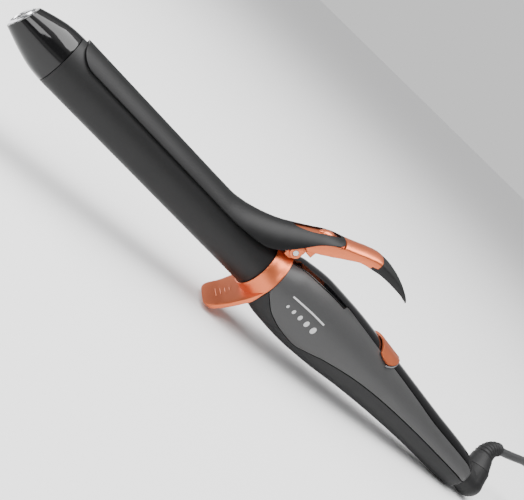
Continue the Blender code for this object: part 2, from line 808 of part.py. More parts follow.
def make_lower_shell():
    shell = wall_object(
        "lower_shell", panel_angle, lambda x: 2 * math.pi - panel_angle(x), 15
    )
    shell = baked(shell)
    slope = math.tan(TILT)
    outline = (
        (HANDLE_FRONT + 0.0001, -0.0160),
        (HANDLE_FRONT + 0.0001, -0.0183),
        (0.0073, -0.0188),
        (0.0044, -0.0248),
        (0.0012, -0.0300),
        (-0.0002, -0.0322),
        (-0.0008, -0.0338),
        (-0.0046, -0.0338),
        (-0.0044, -0.0350),
        (FOOT.x - 0.0040, FOOT.z - 0.0040 * slope),
        (FOOT.x, FOOT.z),
        (0.0034, -0.0339),
        (0.0067, -0.0297),
        (0.0150, -0.0192),
        (0.0165, -0.0175),
    )
    support = plate("stand_support", outline, 0.0122)
    boolean(shell, support, "UNION")
    for place in SCREW_PLACES:
        low = smooth(HANDLE_STATIONS, place, 2)
        hole = rod("shell_screw_hole", 0.0031, 0.012, (place, 0, low), sides=16)
        boolean(shell, hole, "DIFFERENCE")
    finish_object(baked(shell), SHELL_GREY)

    for number, place in enumerate(SCREW_PLACES, 1):
        low = smooth(HANDLE_STATIONS, place, 2)
        screw = rod(f"handle_screw_{number}", 0.0027, 0.0018, (place, 0, low + 0.0014), sides=14)
        shank = rod("screw_shank", 0.0013, 0.010, (place, 0, low + 0.0070), sides=10)
        boolean(screw, shank, "UNION")
        finish_object(baked(screw), STEEL)


def saddle(name, xs, low, high, columns, out, thick):
    """A shell over the handle between two angles, low and high, that vary along it."""
    rows = []
    for x in xs:
        rows.append([handle_point(x, a, out) for a in spread(low(x), high(x), columns)])
    return thicken(grid_object(name, rows), thick)


def slider_angle(x):
    return math.radians(smooth(SLIDER_EDGE, x))


def make_slider():
    xs = (SLIDER_FRONT, 0.0855, 0.088, *RIM_SECTIONS)
    out = SLIDER_LIFT + SLIDER_THICK
    cap = saddle(
        "power_slider", xs, lambda x: -slider_angle(x), slider_angle, 13, out, SLIDER_THICK
    )
    finish_object(cap, COPPER, SLIDER_AXIS)
    post = block("slider_carrier", (0.005, 0.0038, 0.0040), (CARRIER_X, 0, 0.0170))
    foot = block("slider_carrier_foot", (0.008, 0.0058, 0.0016), (CARRIER_X, 0, 0.0155))
    boolean(post, foot, "UNION")
    finish_object(baked(post), SHELL_GREY, SLIDER_AXIS)

    for side, where in SIDES:
        edges = [
            lambda x, out=out, side=side: side * (slider_angle(x) + out / RIM_REACH)
            for out in (RIM_GAP, RIM_GAP + RIM_WIDTH)
        ]
        low, high = edges[::side]
        rim = saddle("slider_rim_" + where, RIM_SECTIONS, low, high, 3, RIM_LIFT, RIM_THICK)
        finish_object(rim, CHROME)


def make_electrics():
    board = block("circuit_board", (0.080, 0.019, 0.0016), (0.080, 0, -0.004))
    finish_object(board, BOARD_TAN)
    switch = block("switch_body", (0.014, 0.0085, 0.0165), (0.091, 0, 0.0057))
    finish_object(bevel(switch, 0.0004, 1), SHELL_GREY)
    capacitor = rod("capacitor", 0.0042, 0.009, (0.064, 0.003, 0.0017), sides=20)
    finish_object(bevel(capacitor, 0.0004), SHELL_GREY)
    controller = block("controller_chip", (0.007, 0.006, 0.0016), (0.052, -0.004, -0.0021))
    finish_object(controller, GLOSS_BLACK)
    triac = block("triac", (0.010, 0.004, 0.011), (0.110, 0.0, 0.0027))
    finish_object(bevel(triac, 0.0003, 1), GLOSS_BLACK)


def boot_frame(along):
    """Centre and direction of the strain relief at a distance from the swivel's centre."""
    start = Vector((SWIVEL_X, 0, 0))
    if along <= BOOT_STRAIGHT:
        return start + along * OUTWARD, OUTWARD, FORWARD
    turn = (along - BOOT_STRAIGHT) / BOOT_BEND_R
    bend = BOOT_BEND_R * (math.sin(turn) * OUTWARD + (1 - math.cos(turn)) * FORWARD)
    direction = math.cos(turn) * OUTWARD + math.sin(turn) * FORWARD
    across = math.cos(turn) * FORWARD - math.sin(turn) * OUTWARD
    return start + BOOT_STRAIGHT * OUTWARD + bend, direction, across


def ring_round(centre, first, second, radius, count):
    return [
        centre + radius * (math.cos(a) * first + math.sin(a) * second)
        for a in [2 * math.pi * k / count for k in range(count)]
    ]


def make_swivel():
    front = HANDLE_END + GAP
    outline = (
        (SWIVEL_X, 0),
        (SWIVEL_X, NECK_R),
        (front + 0.0006, NECK_R),
        (front, NECK_R - 0.0006),
        (front, 0),
    )
    elbow = baked(turned("swivel_elbow", outline, 28))
    bpy.ops.mesh.primitive_uv_sphere_add(segments=28, ring_count=16, radius=BULB_R)
    bulb = bpy.context.object
    bulb.location = (SWIVEL_X, 0, 0)
    bulb.rotation_euler = (-BOOT_TURN, 0, 0)
    boolean(elbow, bulb, "UNION")
    seat = BULB_R + 0.0010
    middle = Vector((SWIVEL_X, 0, 0)) + OUTWARD * seat / 2
    turret = rod("elbow_turret", TURRET_R, seat, middle, (-BOOT_TURN, 0, 0), 28)
    boolean(elbow, turret, "UNION")
    finish_object(baked(elbow), SHELL_GREY, SWIVEL_AXIS)

    spindle_outline = (
        (front - GAP, 0),
        (front - GAP, SPINDLE_R),
        (0.1795, SPINDLE_R),
        (0.1795, 0),
    )
    finish_object(turned("swivel_spindle", spindle_outline, 24), BRASS, SWIVEL_AXIS)

    sections, rib_depth = 15, 0.0005
    rows = []
    first = seat + GAP
    for k in range(sections):
        along = first + (BOOT_LENGTH - first) * k / (sections - 1)
        centre, direction, across = boot_frame(along)
        side = direction.cross(across)
        share = k / (sections - 1)
        radius = BOOT_START_R + (BOOT_END_R - BOOT_START_R) * share**0.8
        if k % 2 and k < sections - 1:
            radius -= rib_depth
        rows.append(ring_round(centre, across, side, radius, 20))
    boot = grid_object("strain_relief", rows, close_rows=True, caps=True)
    finish_object(baked(boot), CORD_GREY, SWIVEL_AXIS)

    socket_outline = (
        (HANDLE_END - 0.0003, 0.0069),
        (0.176, 0.0088),
        (0.176, 0.0074),
        (HANDLE_END - 0.0003, SPINDLE_R + 0.0005),
    )
    finish_object(turned("swivel_socket", socket_outline, 28), SHELL_GREY)
    for side, where in SIDES:
        size = (0.014, 0.0030, 0.0004)
        finger = block("contact_finger_" + where, size, (0.1680, side * 0.0028, 0.0))
        finish_object(finger, BRASS)


def iron_to_ground(point):
    turned_point = Matrix.Rotation(TILT, 3, "Y") @ Vector(point)
    return turned_point + Vector((-MIDDLE_X, 0, LIFT))


def through(points, step):
    """Points about a step apart on a smooth curve through the given ones."""
    points = [Vector(p) for p in points]
    ends = [2 * points[0] - points[1], *points, 2 * points[-1] - points[-2]]
    dense = []
    for a, b, c, d in zip(ends, ends[1:], ends[2:], ends[3:]):
        for k in range(20):
            t = k / 20
            dense.append(
                0.5
                * (
                    2 * b
                    + (c - a) * t
                    + (2 * a - 5 * b + 4 * c - d) * t**2
                    + (3 * b - a - 3 * c + d) * t**3
                )
            )
    dense.append(points[-1])
    kept, walked = [dense[0]], 0.0
    for before, here in zip(dense, dense[1:]):
        walked += (here - before).length
        if walked >= step:
            kept.append(here)
            walked = 0.0
    if walked > 0.3 * step:
        kept.append(dense[-1])
    kept[-1] = dense[-1]
    return kept


# The route's own points between the strain relief and the hank, and from the hank to the plug.
CORD_ROUTE = (
    (0.1976, 0.0178, 0.0325),
    (0.2045, 0.0200, 0.0330),
    (0.2118, 0.0229, 0.0334),
    (0.2180, 0.0258, 0.0336),
    (0.2243, 0.0286, 0.0336),
    (0.2330, 0.0315, 0.0325),
    (0.2430, 0.0330, 0.0288),
    (0.2530, 0.0332, 0.0238),
    (0.2630, 0.0325, 0.0192),
    (0.2730, 0.0315, 0.0164),
    (0.2820, HANK_Y + 0.0219, 0.0154),
)
TAIL_ROUTE = (
    (0.4120, HANK_Y + 0.0162, 0.0041),
    (0.4180, HANK_Y + 0.0155, 0.0043),
    (0.4240, HANK_Y + 0.0135, 0.0054),
    (0.4300, HANK_Y + 0.0114, 0.0069),
    (0.4360, HANK_Y + 0.0110, 0.0070),
    (0.4380, HANK_Y + 0.0110, 0.0070),
)


def make_cord():
    centre, direction, _ = boot_frame(BOOT_LENGTH)
    start = iron_to_ground(centre + GAP * direction)
    step = 5 * CORD_R
    run = wire("cord_run", through([start, *CORD_ROUTE], step), CORD_R)
    finish_object(run, CORD_GREY, None)
    tail = wire("cord_tail", through(TAIL_ROUTE, step), CORD_R)
    finish_object(tail, CORD_GREY, None)


def make_hank():
    end_r = HANK_FOLD / 2 + HANK_COLUMN + CORD_R
    half_run = HANK_RUN / 2
    outline = []
    for side in (1, -1):
        for a in spread(-math.pi / 2, math.pi / 2, 13):
            outline.append((side * (half_run + end_r * math.cos(a)), side * end_r * math.sin(a)))
    height = HANK_LAYERS * HANK_COLUMN - 0.0002
    hank = plate("cord_hank", outline, height / 2, upright=False)
    centre = (HANK_X, HANK_Y, HANK_LIFT + height / 2)
    hank.location = centre
    finish_object(hank, CORD_GREY, None)
    inner = (2 * (end_r + GAP), height + 2 * GAP)
    wall = HANK_LIFT - GAP
    outer = (inner[0] + 2 * wall, inner[1] + 2 * wall)
    tie = block("cord_tie", (TIE_WIDTH, *outer), centre)
    boolean(tie, block("tie_opening", (2 * TIE_WIDTH, *inner), centre), "DIFFERENCE")
    finish_object(baked(tie), SHELL_GREY, None)


def make_plug():
    start = Vector(TAIL_ROUTE[-1]) + Vector((GAP + 0.0002, 0, 0))
    outline = [
        (0.0, -0.0042),
        (0.010, -0.0055),
        (0.019, -0.0110),
        (PLUG_LENGTH, -0.0140),
    ]
    outline += [(x, -y) for x, y in reversed(outline)]
    body = plate("plug_body", outline, start.z, upright=False)
    body.location = start
    finish_object(bevel(body, 0.0015), SHELL_GREY, None)
    for side, where in SIDES:
        centre = start + Vector((PLUG_LENGTH + GAP + PIN_LENGTH / 2, side * PIN_SPACING / 2, 0))
        pin = rod("plug_pin_" + where, PIN_THICK / 2, PIN_LENGTH, centre, ALONG_X, 16)
        finish_object(bevel(pin, 0.0006), BRASS, None)


make_barrel()
make_cool_tip()
make_tip_trim()
make_heater()
make_collar()
make_clip_spring()
make_clip_plate()
make_lever()
make_panels()
make_lower_shell()
make_slider()
make_electrics()
make_swivel()
make_cord()
make_hank()
make_plug()
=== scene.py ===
import math
import bpy
from mathutils import Matrix, Vector


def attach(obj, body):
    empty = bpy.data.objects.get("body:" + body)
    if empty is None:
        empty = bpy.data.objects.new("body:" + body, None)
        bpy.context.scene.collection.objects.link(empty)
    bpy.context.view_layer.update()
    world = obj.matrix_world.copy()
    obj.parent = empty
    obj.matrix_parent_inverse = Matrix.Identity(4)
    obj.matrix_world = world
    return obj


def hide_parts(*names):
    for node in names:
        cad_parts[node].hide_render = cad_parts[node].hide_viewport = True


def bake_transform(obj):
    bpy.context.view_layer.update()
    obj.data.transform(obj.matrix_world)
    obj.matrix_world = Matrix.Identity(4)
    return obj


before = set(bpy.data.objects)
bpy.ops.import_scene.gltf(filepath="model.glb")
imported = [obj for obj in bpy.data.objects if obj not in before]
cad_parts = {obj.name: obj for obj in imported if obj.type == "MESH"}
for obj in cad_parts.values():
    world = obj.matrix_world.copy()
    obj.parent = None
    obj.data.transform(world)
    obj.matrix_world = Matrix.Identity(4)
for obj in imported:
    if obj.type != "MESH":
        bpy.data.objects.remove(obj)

print("frame loaded:", len(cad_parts), "nodes")
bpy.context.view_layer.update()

# The iron is drawn along its barrel, tip at -X and clip at +Z, then stands on its foot and heel.
stand = {"foot": (0.0022, -0.0349), "heel": (0.1890, -0.0114), "middleX": 0.0224, "halfWidth": 0.0122}
tilt = math.atan2(stand["heel"][1] - stand["foot"][1], stand["heel"][0] - stand["foot"][0])
lift = stand["foot"][0] * math.sin(tilt) - stand["foot"][1] * math.cos(tilt)
ironFrame = Matrix.Translation((-stand["middleX"], 0, lift)) @ Matrix.Rotation(tilt, 4, "Y")
seam = 0.0003  # clearance between neighbouring mouldings
sides = {"near": -1, "far": 1}


# ways of working that every piece uses

def deselectAll():
    if bpy.context.object and bpy.context.object.mode != "OBJECT":
        bpy.ops.object.mode_set(mode="OBJECT")
    bpy.ops.object.select_all(action="DESELECT")


def pick(obj):
    deselectAll()
    obj.select_set(True)
    bpy.context.view_layer.objects.active = obj
    return obj


def editAll(obj):
    pick(obj)
    bpy.ops.object.mode_set(mode="EDIT")
    bpy.ops.mesh.select_all(action="SELECT")


def leaveEdit():
    bpy.ops.object.mode_set(mode="OBJECT")


def applyAll(obj):
    pick(obj)
    for modifier in list(obj.modifiers):
        bpy.ops.object.modifier_apply(modifier=modifier.name)
    return obj


def smoothShade(obj, angle=32):
    pick(obj)
    bpy.ops.object.shade_smooth_by_angle(angle=math.radians(angle))
    return obj


def bevelEdges(obj, width, segments=3, angle=34):
    edges = obj.modifiers.new("roundedEdges", "BEVEL")
    edges.width = width
    edges.segments = segments
    edges.limit_method = "ANGLE"
    edges.angle_limit = math.radians(angle)
    return applyAll(obj)


def wallInwards(obj, thickness):
    wall = obj.modifiers.new("wall", "SOLIDIFY")
    wall.thickness = thickness
    wall.offset = -1
    wall.use_even_offset = True
    return applyAll(obj)


def cutWith(obj, tool, operation="DIFFERENCE"):
    step = obj.modifiers.new("cut", "BOOLEAN")
    step.operation = operation
    step.object = tool
    step.solver = "EXACT"
    applyAll(obj)
    bpy.data.objects.remove(tool, do_unlink=True)
    return obj


def facingOut(obj, centreOf=lambda p: Vector((p.x, 0, 0))):
    outward = sum((f.normal.dot(f.center - centreOf(f.center)) * f.area for f in obj.data.polygons), 0)
    if outward < 0:
        editAll(obj)
        bpy.ops.mesh.flip_normals()
        leaveEdit()
    return obj


def gridPiece(name, across, along, placeAt, closed=False):
    # a grid primitive laid onto a surface; placeAt takes two shares from 0 to 1
    deselectAll()
    bpy.ops.mesh.primitive_grid_add(x_subdivisions=across, y_subdivisions=along, size=2)
    obj = bpy.context.object
    obj.name = obj.data.name = name
    for vertex in obj.data.vertices:
        vertex.co = placeAt((vertex.co.x + 1) / 2, (vertex.co.y + 1) / 2)
    if closed:
        editAll(obj)
        bpy.ops.mesh.remove_doubles(threshold=0.000005)
        bpy.ops.mesh.select_all(action="SELECT")
        bpy.ops.mesh.fill_holes(sides=0)
        bpy.ops.mesh.select_all(action="SELECT")
        bpy.ops.mesh.normals_make_consistent(inside=False)
        leaveEdit()
    return obj


def turnedPiece(name, profile, steps=96, closed=True):
    # profile is (X, radius) pairs, spun round the barrel's axis
    mesh = bpy.data.meshes.new(name)
    edges = [(k, k + 1) for k in range(len(profile) - 1)]
    if closed and profile[0][1] > 0:
        edges.append((len(profile) - 1, 0))
    mesh.from_pydata([(x, 0, radius) for x, radius in profile], edges, [])
    obj = bpy.data.objects.new(name, mesh)
    bpy.context.collection.objects.link(obj)
    editAll(obj)
    bpy.ops.mesh.spin(steps=steps, angle=2 * math.pi, center=(0, 0, 0), axis=(1, 0, 0))
    bpy.ops.mesh.select_all(action="SELECT")
    bpy.ops.mesh.remove_doubles(threshold=0.000005)
    bpy.ops.mesh.normals_make_consistent(inside=False)
    leaveEdit()
    return obj


def slabPiece(name, outline, halfWidth):
    # an outline of (X, Z) pairs, extruded across Y
    mesh = bpy.data.meshes.new(name)
    mesh.from_pydata([(x, -halfWidth, z) for x, z in outline], [], [range(len(outline))])
    obj = bpy.data.objects.new(name, mesh)
    bpy.context.collection.objects.link(obj)
    editAll(obj)
    bpy.ops.mesh.extrude_region_move(TRANSFORM_OT_translate={"value": (0, 2 * halfWidth, 0)})
    bpy.ops.mesh.select_all(action="SELECT")
    bpy.ops.mesh.normals_make_consistent(inside=False)
    leaveEdit()
    return obj


def rodPiece(name, radius, length, place, turn=(0, 0, 0), sidesCount=48):
    deselectAll()
    bpy.ops.mesh.primitive_cylinder_add(
        vertices=sidesCount, radius=radius, depth=length, location=place, rotation=turn
    )
    obj = bpy.context.object
    obj.name = obj.data.name = name
    bpy.ops.object.transform_apply(location=True, rotation=True, scale=True)
    return obj


def ballPiece(name, size, place, turn=(0, 0, 0), segments=64, rings=32):
    deselectAll()
    bpy.ops.mesh.primitive_uv_sphere_add(
        segments=segments, ring_count=rings, radius=1, location=place, rotation=turn
    )
    obj = bpy.context.object
    obj.name = obj.data.name = name
    obj.scale = size
    bpy.ops.object.transform_apply(location=True, rotation=True, scale=True)
    return obj


def boxPiece(name, size, place, turn=(0, 0, 0)):
    deselectAll()
    bpy.ops.mesh.primitive_cube_add(size=1, location=place, rotation=turn)
    obj = bpy.context.object
    obj.name = obj.data.name = name
    obj.scale = size
    bpy.ops.object.transform_apply(location=True, rotation=True, scale=True)
    return obj


def onIron(obj, body, finish, slotName, *nodes, angle=32):
    # stands the finished piece with the iron, gives it its body and finish, and hides the frame nodes it
    # stands for
    obj.data.transform(ironFrame)
    return onGround(obj, body, finish, slotName, *nodes, angle=angle)


def onGround(obj, body, finish, slotName, *nodes, angle=32):
    smoothShade(obj, angle)
    obj.data.materials.clear()
    obj.data.materials.append(finish)
    if body:
        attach(obj, body)
    if nodes:
        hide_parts(*nodes)
    return obj


def readTable(table, x, column=1):
    # a smooth curve through a column of the table, without overshoot
    if x <= table[0][0]:
        return table[0][column]
    if x >= table[-1][0]:
        return table[-1][column]
    k = next(k for k in range(len(table) - 1) if x <= table[k + 1][0])
    slopes = [(b[column] - a[column]) / (b[0] - a[0]) for a, b in zip(table, table[1:])]

    def slopeAt(n):
        if n in (0, len(table) - 1):
            return slopes[min(n, len(slopes) - 1)]
        before, after = slopes[n - 1], slopes[n]
        return 0.0 if before * after <= 0 else 2 * before * after / (before + after)

    width = table[k + 1][0] - table[k][0]
    t = (x - table[k][0]) / width
    low, high = table[k][column], table[k + 1][column]
    return (
        (2 * t**3 - 3 * t**2 + 1) * low
        + (t**3 - 2 * t**2 + t) * width * slopeAt(k)
        + (3 * t**2 - 2 * t**3) * high
        + (t**3 - t**2) * width * slopeAt(k + 1)
    )


def mix(low, high, share):
    return low + (high - low) * share


def throughPoints(points, step):
    # points about a step apart on a smooth curve through the given ones
    points = [Vector(p) for p in points]
    ends = [2 * points[0] - points[1], *points, 2 * points[-1] - points[-2]]
    dense = []
    for a, b, c, d in zip(ends, ends[1:], ends[2:], ends[3:]):
        for k in range(24):
            t = k / 24
            dense.append(0.5 * (2 * b + (c - a) * t + (2 * a - 5 * b + 4 * c - d) * t**2
                                + (3 * b - a - 3 * c + d) * t**3))
    kept, walked = [dense[0]], 0.0
    for before, here in zip(dense, dense[1:]):
        walked += (here - before).length
        if walked >= step:
            kept.append(here)
            walked = 0.0
    if (points[-1] - kept[-1]).length < 0.4 * step:
        kept.pop()
    return kept + [points[-1]]


# camera, floor and light

camera = {
    "place": (-0.2050, -0.4166, 0.1530),
    "right": (0.7299, -0.1013, 0.6759),
    "up": (-0.5747, 0.4441, 0.6872),
    "lens": 62.14,
    "shift": (0.052, 0.018),
}
right, up = Vector(camera["right"]).normalized(), Vector(camera["up"]).normalized()
back = right.cross(up).normalized()
up = back.cross(right)
camData = bpy.data.cameras.new("studioCamera")
camData.lens, camData.sensor_width = camera["lens"], 36
camData.shift_x, camData.shift_y = camera["shift"]
camData.clip_start, camData.clip_end = 0.01, 50
cam = bpy.data.objects.new("studioCamera", camData)
cam.matrix_world = Matrix.Translation(camera["place"]) @ Matrix((right, up, back)).transposed().to_4x4()
bpy.context.collection.objects.link(cam)
bpy.context.scene.camera = cam

studio = {
    "floorSize": 60.0,
    "floorColor": (0.97, 0.97, 0.97),
    "skyLow": (0.52, 0.52, 0.52), "skyHigh": (0.72, 0.72, 0.72),
    "skyStrength": 1.6,
    "dim": (0.20, 0.20, 0.205), "dimBand": (0.26, 0.62), "skyBand": (0.16, 0.86),
    # name: place, aim, width, height, power, colour
    "overheadSoftbox": ((-0.1, -0.1, 1.6), (0, 0, 0), 1.5, 1.3, 50, (1, 1, 1)),
    "frontSoftbox": ((-0.9, -0.9, 0.9), (0, 0, 0.03), 0.5, 0.5, 6, (1, 1, 1)),
    "rimSoftbox": ((-1.0, 0.5, 0.8), (0.0, 0, 0.03), 0.5, 0.7, 9, (1, 1, 1)),
}


def addSoftbox(name, place, aim, width, height, power, colour):
    light = bpy.data.lights.new(name, "AREA")
    light.shape = "RECTANGLE"
    light.size, light.size_y = width, height
    light.energy, light.color = power, colour
    lamp = bpy.data.objects.new(name, light)
    lamp.location = place
    lamp.rotation_euler = (Vector(aim) - Vector(place)).to_track_quat("-Z", "Y").to_euler()
    bpy.context.collection.objects.link(lamp)


for softbox in ("overheadSoftbox", "frontSoftbox", "rimSoftbox"):
    addSoftbox(softbox, *studio[softbox])
world = bpy.data.worlds.new("paleStudio")
world.use_nodes = True
skyNodes, skyLinks = world.node_tree.nodes, world.node_tree.links
skyCoords, skySplit = skyNodes.new("ShaderNodeTexCoord"), skyNodes.new("ShaderNodeSeparateXYZ")
skyRamp = skyNodes.new("ShaderNodeValToRGB")  # pale behind the floor, dim above it, pale overhead
for stop, share, sky in zip(skyRamp.color_ramp.elements, studio["skyBand"], ("skyLow", "skyHigh")):
    stop.position, stop.color = share, (*studio[sky], 1)
for share in studio["dimBand"]:
    skyRamp.color_ramp.elements.new(share).color = (*studio["dim"], 1)
skyLinks.new(skyCoords.outputs["Generated"], skySplit.inputs["Vector"])
skyLinks.new(skySplit.outputs["Z"], skyRamp.inputs["Fac"])
skyLinks.new(skyRamp.outputs["Color"], skyNodes["Background"].inputs["Color"])
skyNodes["Background"].inputs["Strength"].default_value = studio["skyStrength"]
bpy.context.scene.world = world
print("camera and studio ready")


# finishes

def newSocket(group, name, inOut, kind, value=None):
    socket = group.interface.new_socket(name=name, in_out=inOut, socket_type=kind)
    if value is not None:
        socket.default_value = value
    return socket


def grainGroupMade():
    # fine moulding or coating grain, with broad handling marks in the gloss
    group = bpy.data.node_groups.new("surfaceGrain", "ShaderNodeTree")
    newSocket(group, "Base", "INPUT", "NodeSocketColor", (0.5, 0.5, 0.5, 1))
    newSocket(group, "Fleck", "INPUT", "NodeSocketColor", (0.6, 0.6, 0.6, 1))
    for name, value in (("Grain Scale", 3000), ("Grain Sharpness", 0.25), ("Fleck Amount", 0.3),
                        ("Gloss", 0.4), ("Gloss Spread", 0.08), ("Mark Scale", 60)):
        newSocket(group, name, "INPUT", "NodeSocketFloat", value)
    newSocket(group, "Color", "OUTPUT", "NodeSocketColor")
    newSocket(group, "Roughness", "OUTPUT", "NodeSocketFloat")
    newSocket(group, "Height", "OUTPUT", "NodeSocketFloat")
    nodes, links = group.nodes, group.links
    inside, outside = nodes.new("NodeGroupInput"), nodes.new("NodeGroupOutput")
    coords = nodes.new("ShaderNodeTexCoord")
    grain = nodes.new("ShaderNodeTexNoise")
    grain.inputs["Detail"].default_value = 2
    links.new(coords.outputs["Object"], grain.inputs["Vector"])
    links.new(inside.outputs["Grain Scale"], grain.inputs["Scale"])
    marks = nodes.new("ShaderNodeTexNoise")
    marks.inputs["Detail"].default_value = 4
    links.new(coords.outputs["Object"], marks.inputs["Vector"])
    links.new(inside.outputs["Mark Scale"], marks.inputs["Scale"])
    fleckMask = nodes.new("ShaderNodeMapRange")
    fleckMask.inputs["From Min"].default_value = 0.5
    links.new(grain.outputs["Fac"], fleckMask.inputs["Value"])
    links.new(inside.outputs["Grain Sharpness"], fleckMask.inputs["From Max"])
    amount = nodes.new("ShaderNodeMath")
    amount.operation = "MULTIPLY"
    links.new(fleckMask.outputs["Result"], amount.inputs[0])
    links.new(inside.outputs["Fleck Amount"], amount.inputs[1])
    colour = nodes.new("ShaderNodeMix")
    colour.data_type = "RGBA"
    links.new(amount.outputs[0], colour.inputs["Factor"])
    links.new(inside.outputs["Base"], colour.inputs[6])
    links.new(inside.outputs["Fleck"], colour.inputs[7])
    links.new(colour.outputs[2], outside.inputs["Color"])
    spread = nodes.new("ShaderNodeMath")
    spread.operation = "MULTIPLY_ADD"
    centred = nodes.new("ShaderNodeMath")
    centred.operation = "SUBTRACT"
    centred.inputs[1].default_value = 0.5
    links.new(marks.outputs["Fac"], centred.inputs[0])
    links.new(centred.outputs[0], spread.inputs[0])
    links.new(inside.outputs["Gloss Spread"], spread.inputs[1])
    links.new(inside.outputs["Gloss"], spread.inputs[2])
    links.new(spread.outputs[0], outside.inputs["Roughness"])
    links.new(grain.outputs["Fac"], outside.inputs["Height"])
    return group


grainGroup = grainGroupMade()


def finishMade(name, base, fleck, look):
    # look: metal, specular, grain scale, fleck amount, gloss (roughness), its spread, bump and its depth
    made = bpy.data.materials.new(name)
    made.use_nodes = True
    made.diffuse_color = (*base, 1)
    nodes, links = made.node_tree.nodes, made.node_tree.links
    shader = nodes["Principled BSDF"]
    shader.inputs["Metallic"].default_value = look.get("metal", 0.0)
    shader.inputs["Specular IOR Level"].default_value = look.get("specular", 0.5)
    grain = nodes.new("ShaderNodeGroup")
    grain.node_tree = grainGroup
    grain.inputs["Base"].default_value = (*base, 1)
    grain.inputs["Fleck"].default_value = (*fleck, 1)
    grain.inputs["Grain Scale"].default_value = look.get("grain", 2600)
    grain.inputs["Grain Sharpness"].default_value = 0.75
    grain.inputs["Fleck Amount"].default_value = look.get("flecks", 0.4)
    grain.inputs["Gloss"].default_value = look.get("gloss", 0.4)
    grain.inputs["Gloss Spread"].default_value = look.get("spread", 0.1)
    grain.inputs["Mark Scale"].default_value = look.get("marks", 60)
    bump = nodes.new("ShaderNodeBump")
    bump.inputs["Distance"].default_value = look.get("depth", 0.00002)
    bump.inputs["Strength"].default_value = look.get("bump", 0.4)
    links.new(grain.outputs["Color"], shader.inputs["Base Color"])
    links.new(grain.outputs["Roughness"], shader.inputs["Roughness"])
    links.new(grain.outputs["Height"], bump.inputs["Height"])
    links.new(bump.outputs["Normal"], shader.inputs["Normal"])
    return made


coating = finishMade("ceramicCoating", (0.009, 0.009, 0.0092), (0.019, 0.019, 0.0195),
                     {"grain": 3500, "flecks": 0.5, "gloss": 0.50, "spread": 0.12, "bump": 0.5,
                      "specular": 0.25})
clipCoating = finishMade("clipCoating", (0.004, 0.004, 0.0043), (0.010, 0.010, 0.0104),
                         {"grain": 3500, "gloss": 0.46, "spread": 0.12, "bump": 0.35, "specular": 0.25})
glossBlack = finishMade("glossBlack", (0.002, 0.002, 0.0022), (0.004, 0.004, 0.005),
                        {"grain": 1500, "gloss": 0.08, "spread": 0.05, "bump": 0.03, "specular": 0.4,
                         "marks": 90})
copper = finishMade("copperLacquer", (0.66, 0.155, 0.060), (0.82, 0.26, 0.12),
                    {"grain": 4200, "flecks": 0.35, "gloss": 0.33, "bump": 0.25, "metal": 0.8})
capCopper = finishMade("copperCap", (0.66, 0.155, 0.060), (0.82, 0.26, 0.12),
                       {"grain": 4200, "flecks": 0.3, "gloss": 0.22, "spread": 0.08, "bump": 0.15,
                        "metal": 0.7})
panelGrey = finishMade("panelGrey", (0.048, 0.048, 0.0485), (0.072, 0.072, 0.072),
                       {"grain": 3200, "flecks": 0.35, "gloss": 0.42, "bump": 0.35, "specular": 0.35})
shellGrey = finishMade("shellGrey", (0.012, 0.012, 0.0123), (0.022, 0.022, 0.0225),
                       {"grain": 2400, "flecks": 0.35, "gloss": 0.50, "bump": 0.6, "specular": 0.22})
chrome = finishMade("chromePlate", (0.80, 0.80, 0.82), (0.86, 0.86, 0.88),
                    {"grain": 900, "flecks": 0.2, "gloss": 0.07, "spread": 0.05, "bump": 0.02, "metal": 1.0})
steel = finishMade("plainSteel", (0.52, 0.52, 0.53), (0.66, 0.66, 0.67),
                   {"grain": 1800, "gloss": 0.30, "spread": 0.12, "bump": 0.15, "metal": 1.0})
brass = finishMade("brassPlate", (0.70, 0.50, 0.19), (0.80, 0.60, 0.28),
                   {"grain": 1800, "gloss": 0.28, "spread": 0.12, "bump": 0.1, "metal": 1.0})
aluminium = finishMade("extrudedAluminium", (0.66, 0.66, 0.68), (0.76, 0.76, 0.78),
                       {"grain": 1800, "gloss": 0.35, "spread": 0.12, "bump": 0.15, "metal": 1.0})
ceramic = finishMade("whiteCeramic", (0.72, 0.70, 0.65), (0.80, 0.78, 0.74),
                     {"flecks": 0.5, "gloss": 0.6, "bump": 0.5})
boardTan = finishMade("boardLaminate", (0.46, 0.30, 0.12), (0.56, 0.38, 0.18),
                      {"flecks": 0.5, "gloss": 0.5, "bump": 0.3})
leadRed = finishMade("leadSilicone", (0.55, 0.08, 0.06), (0.65, 0.12, 0.10),
                     {"flecks": 0.3, "gloss": 0.5, "bump": 0.2})
cordGrey = finishMade("cordRubber", (0.040, 0.040, 0.041), (0.060, 0.060, 0.060),
                      {"gloss": 0.50, "spread": 0.12, "bump": 0.5, "specular": 0.25})
bootGrey = finishMade("bootRubber", (0.015, 0.015, 0.0155), (0.026, 0.026, 0.026),
                      {"gloss": 0.50, "spread": 0.12, "bump": 0.5, "specular": 0.22})
tieWeave = finishMade("tieWeave", (0.02, 0.02, 0.022), (0.06, 0.06, 0.062),
                      {"grain": 1400, "flecks": 0.8, "gloss": 0.85, "bump": 1.0, "depth": 0.0001})
inkGrey = finishMade("paleInk", (0.55, 0.55, 0.55), (0.62, 0.62, 0.62),
                     {"flecks": 0.3, "gloss": 0.5, "bump": 0.1})
floorWhite = finishMade("paperFloor", studio["floorColor"], studio["floorColor"],
                        {"grain": 300, "flecks": 0.1, "gloss": 0.85, "spread": 0.05, "bump": 0.0})
print("finishes mixed")

deselectAll()
bpy.ops.mesh.primitive_plane_add(size=studio["floorSize"])
floor = bpy.context.object
floor.name = "paperFloor"
floor.data.materials.append(floorWhite)


# strain relief and cord

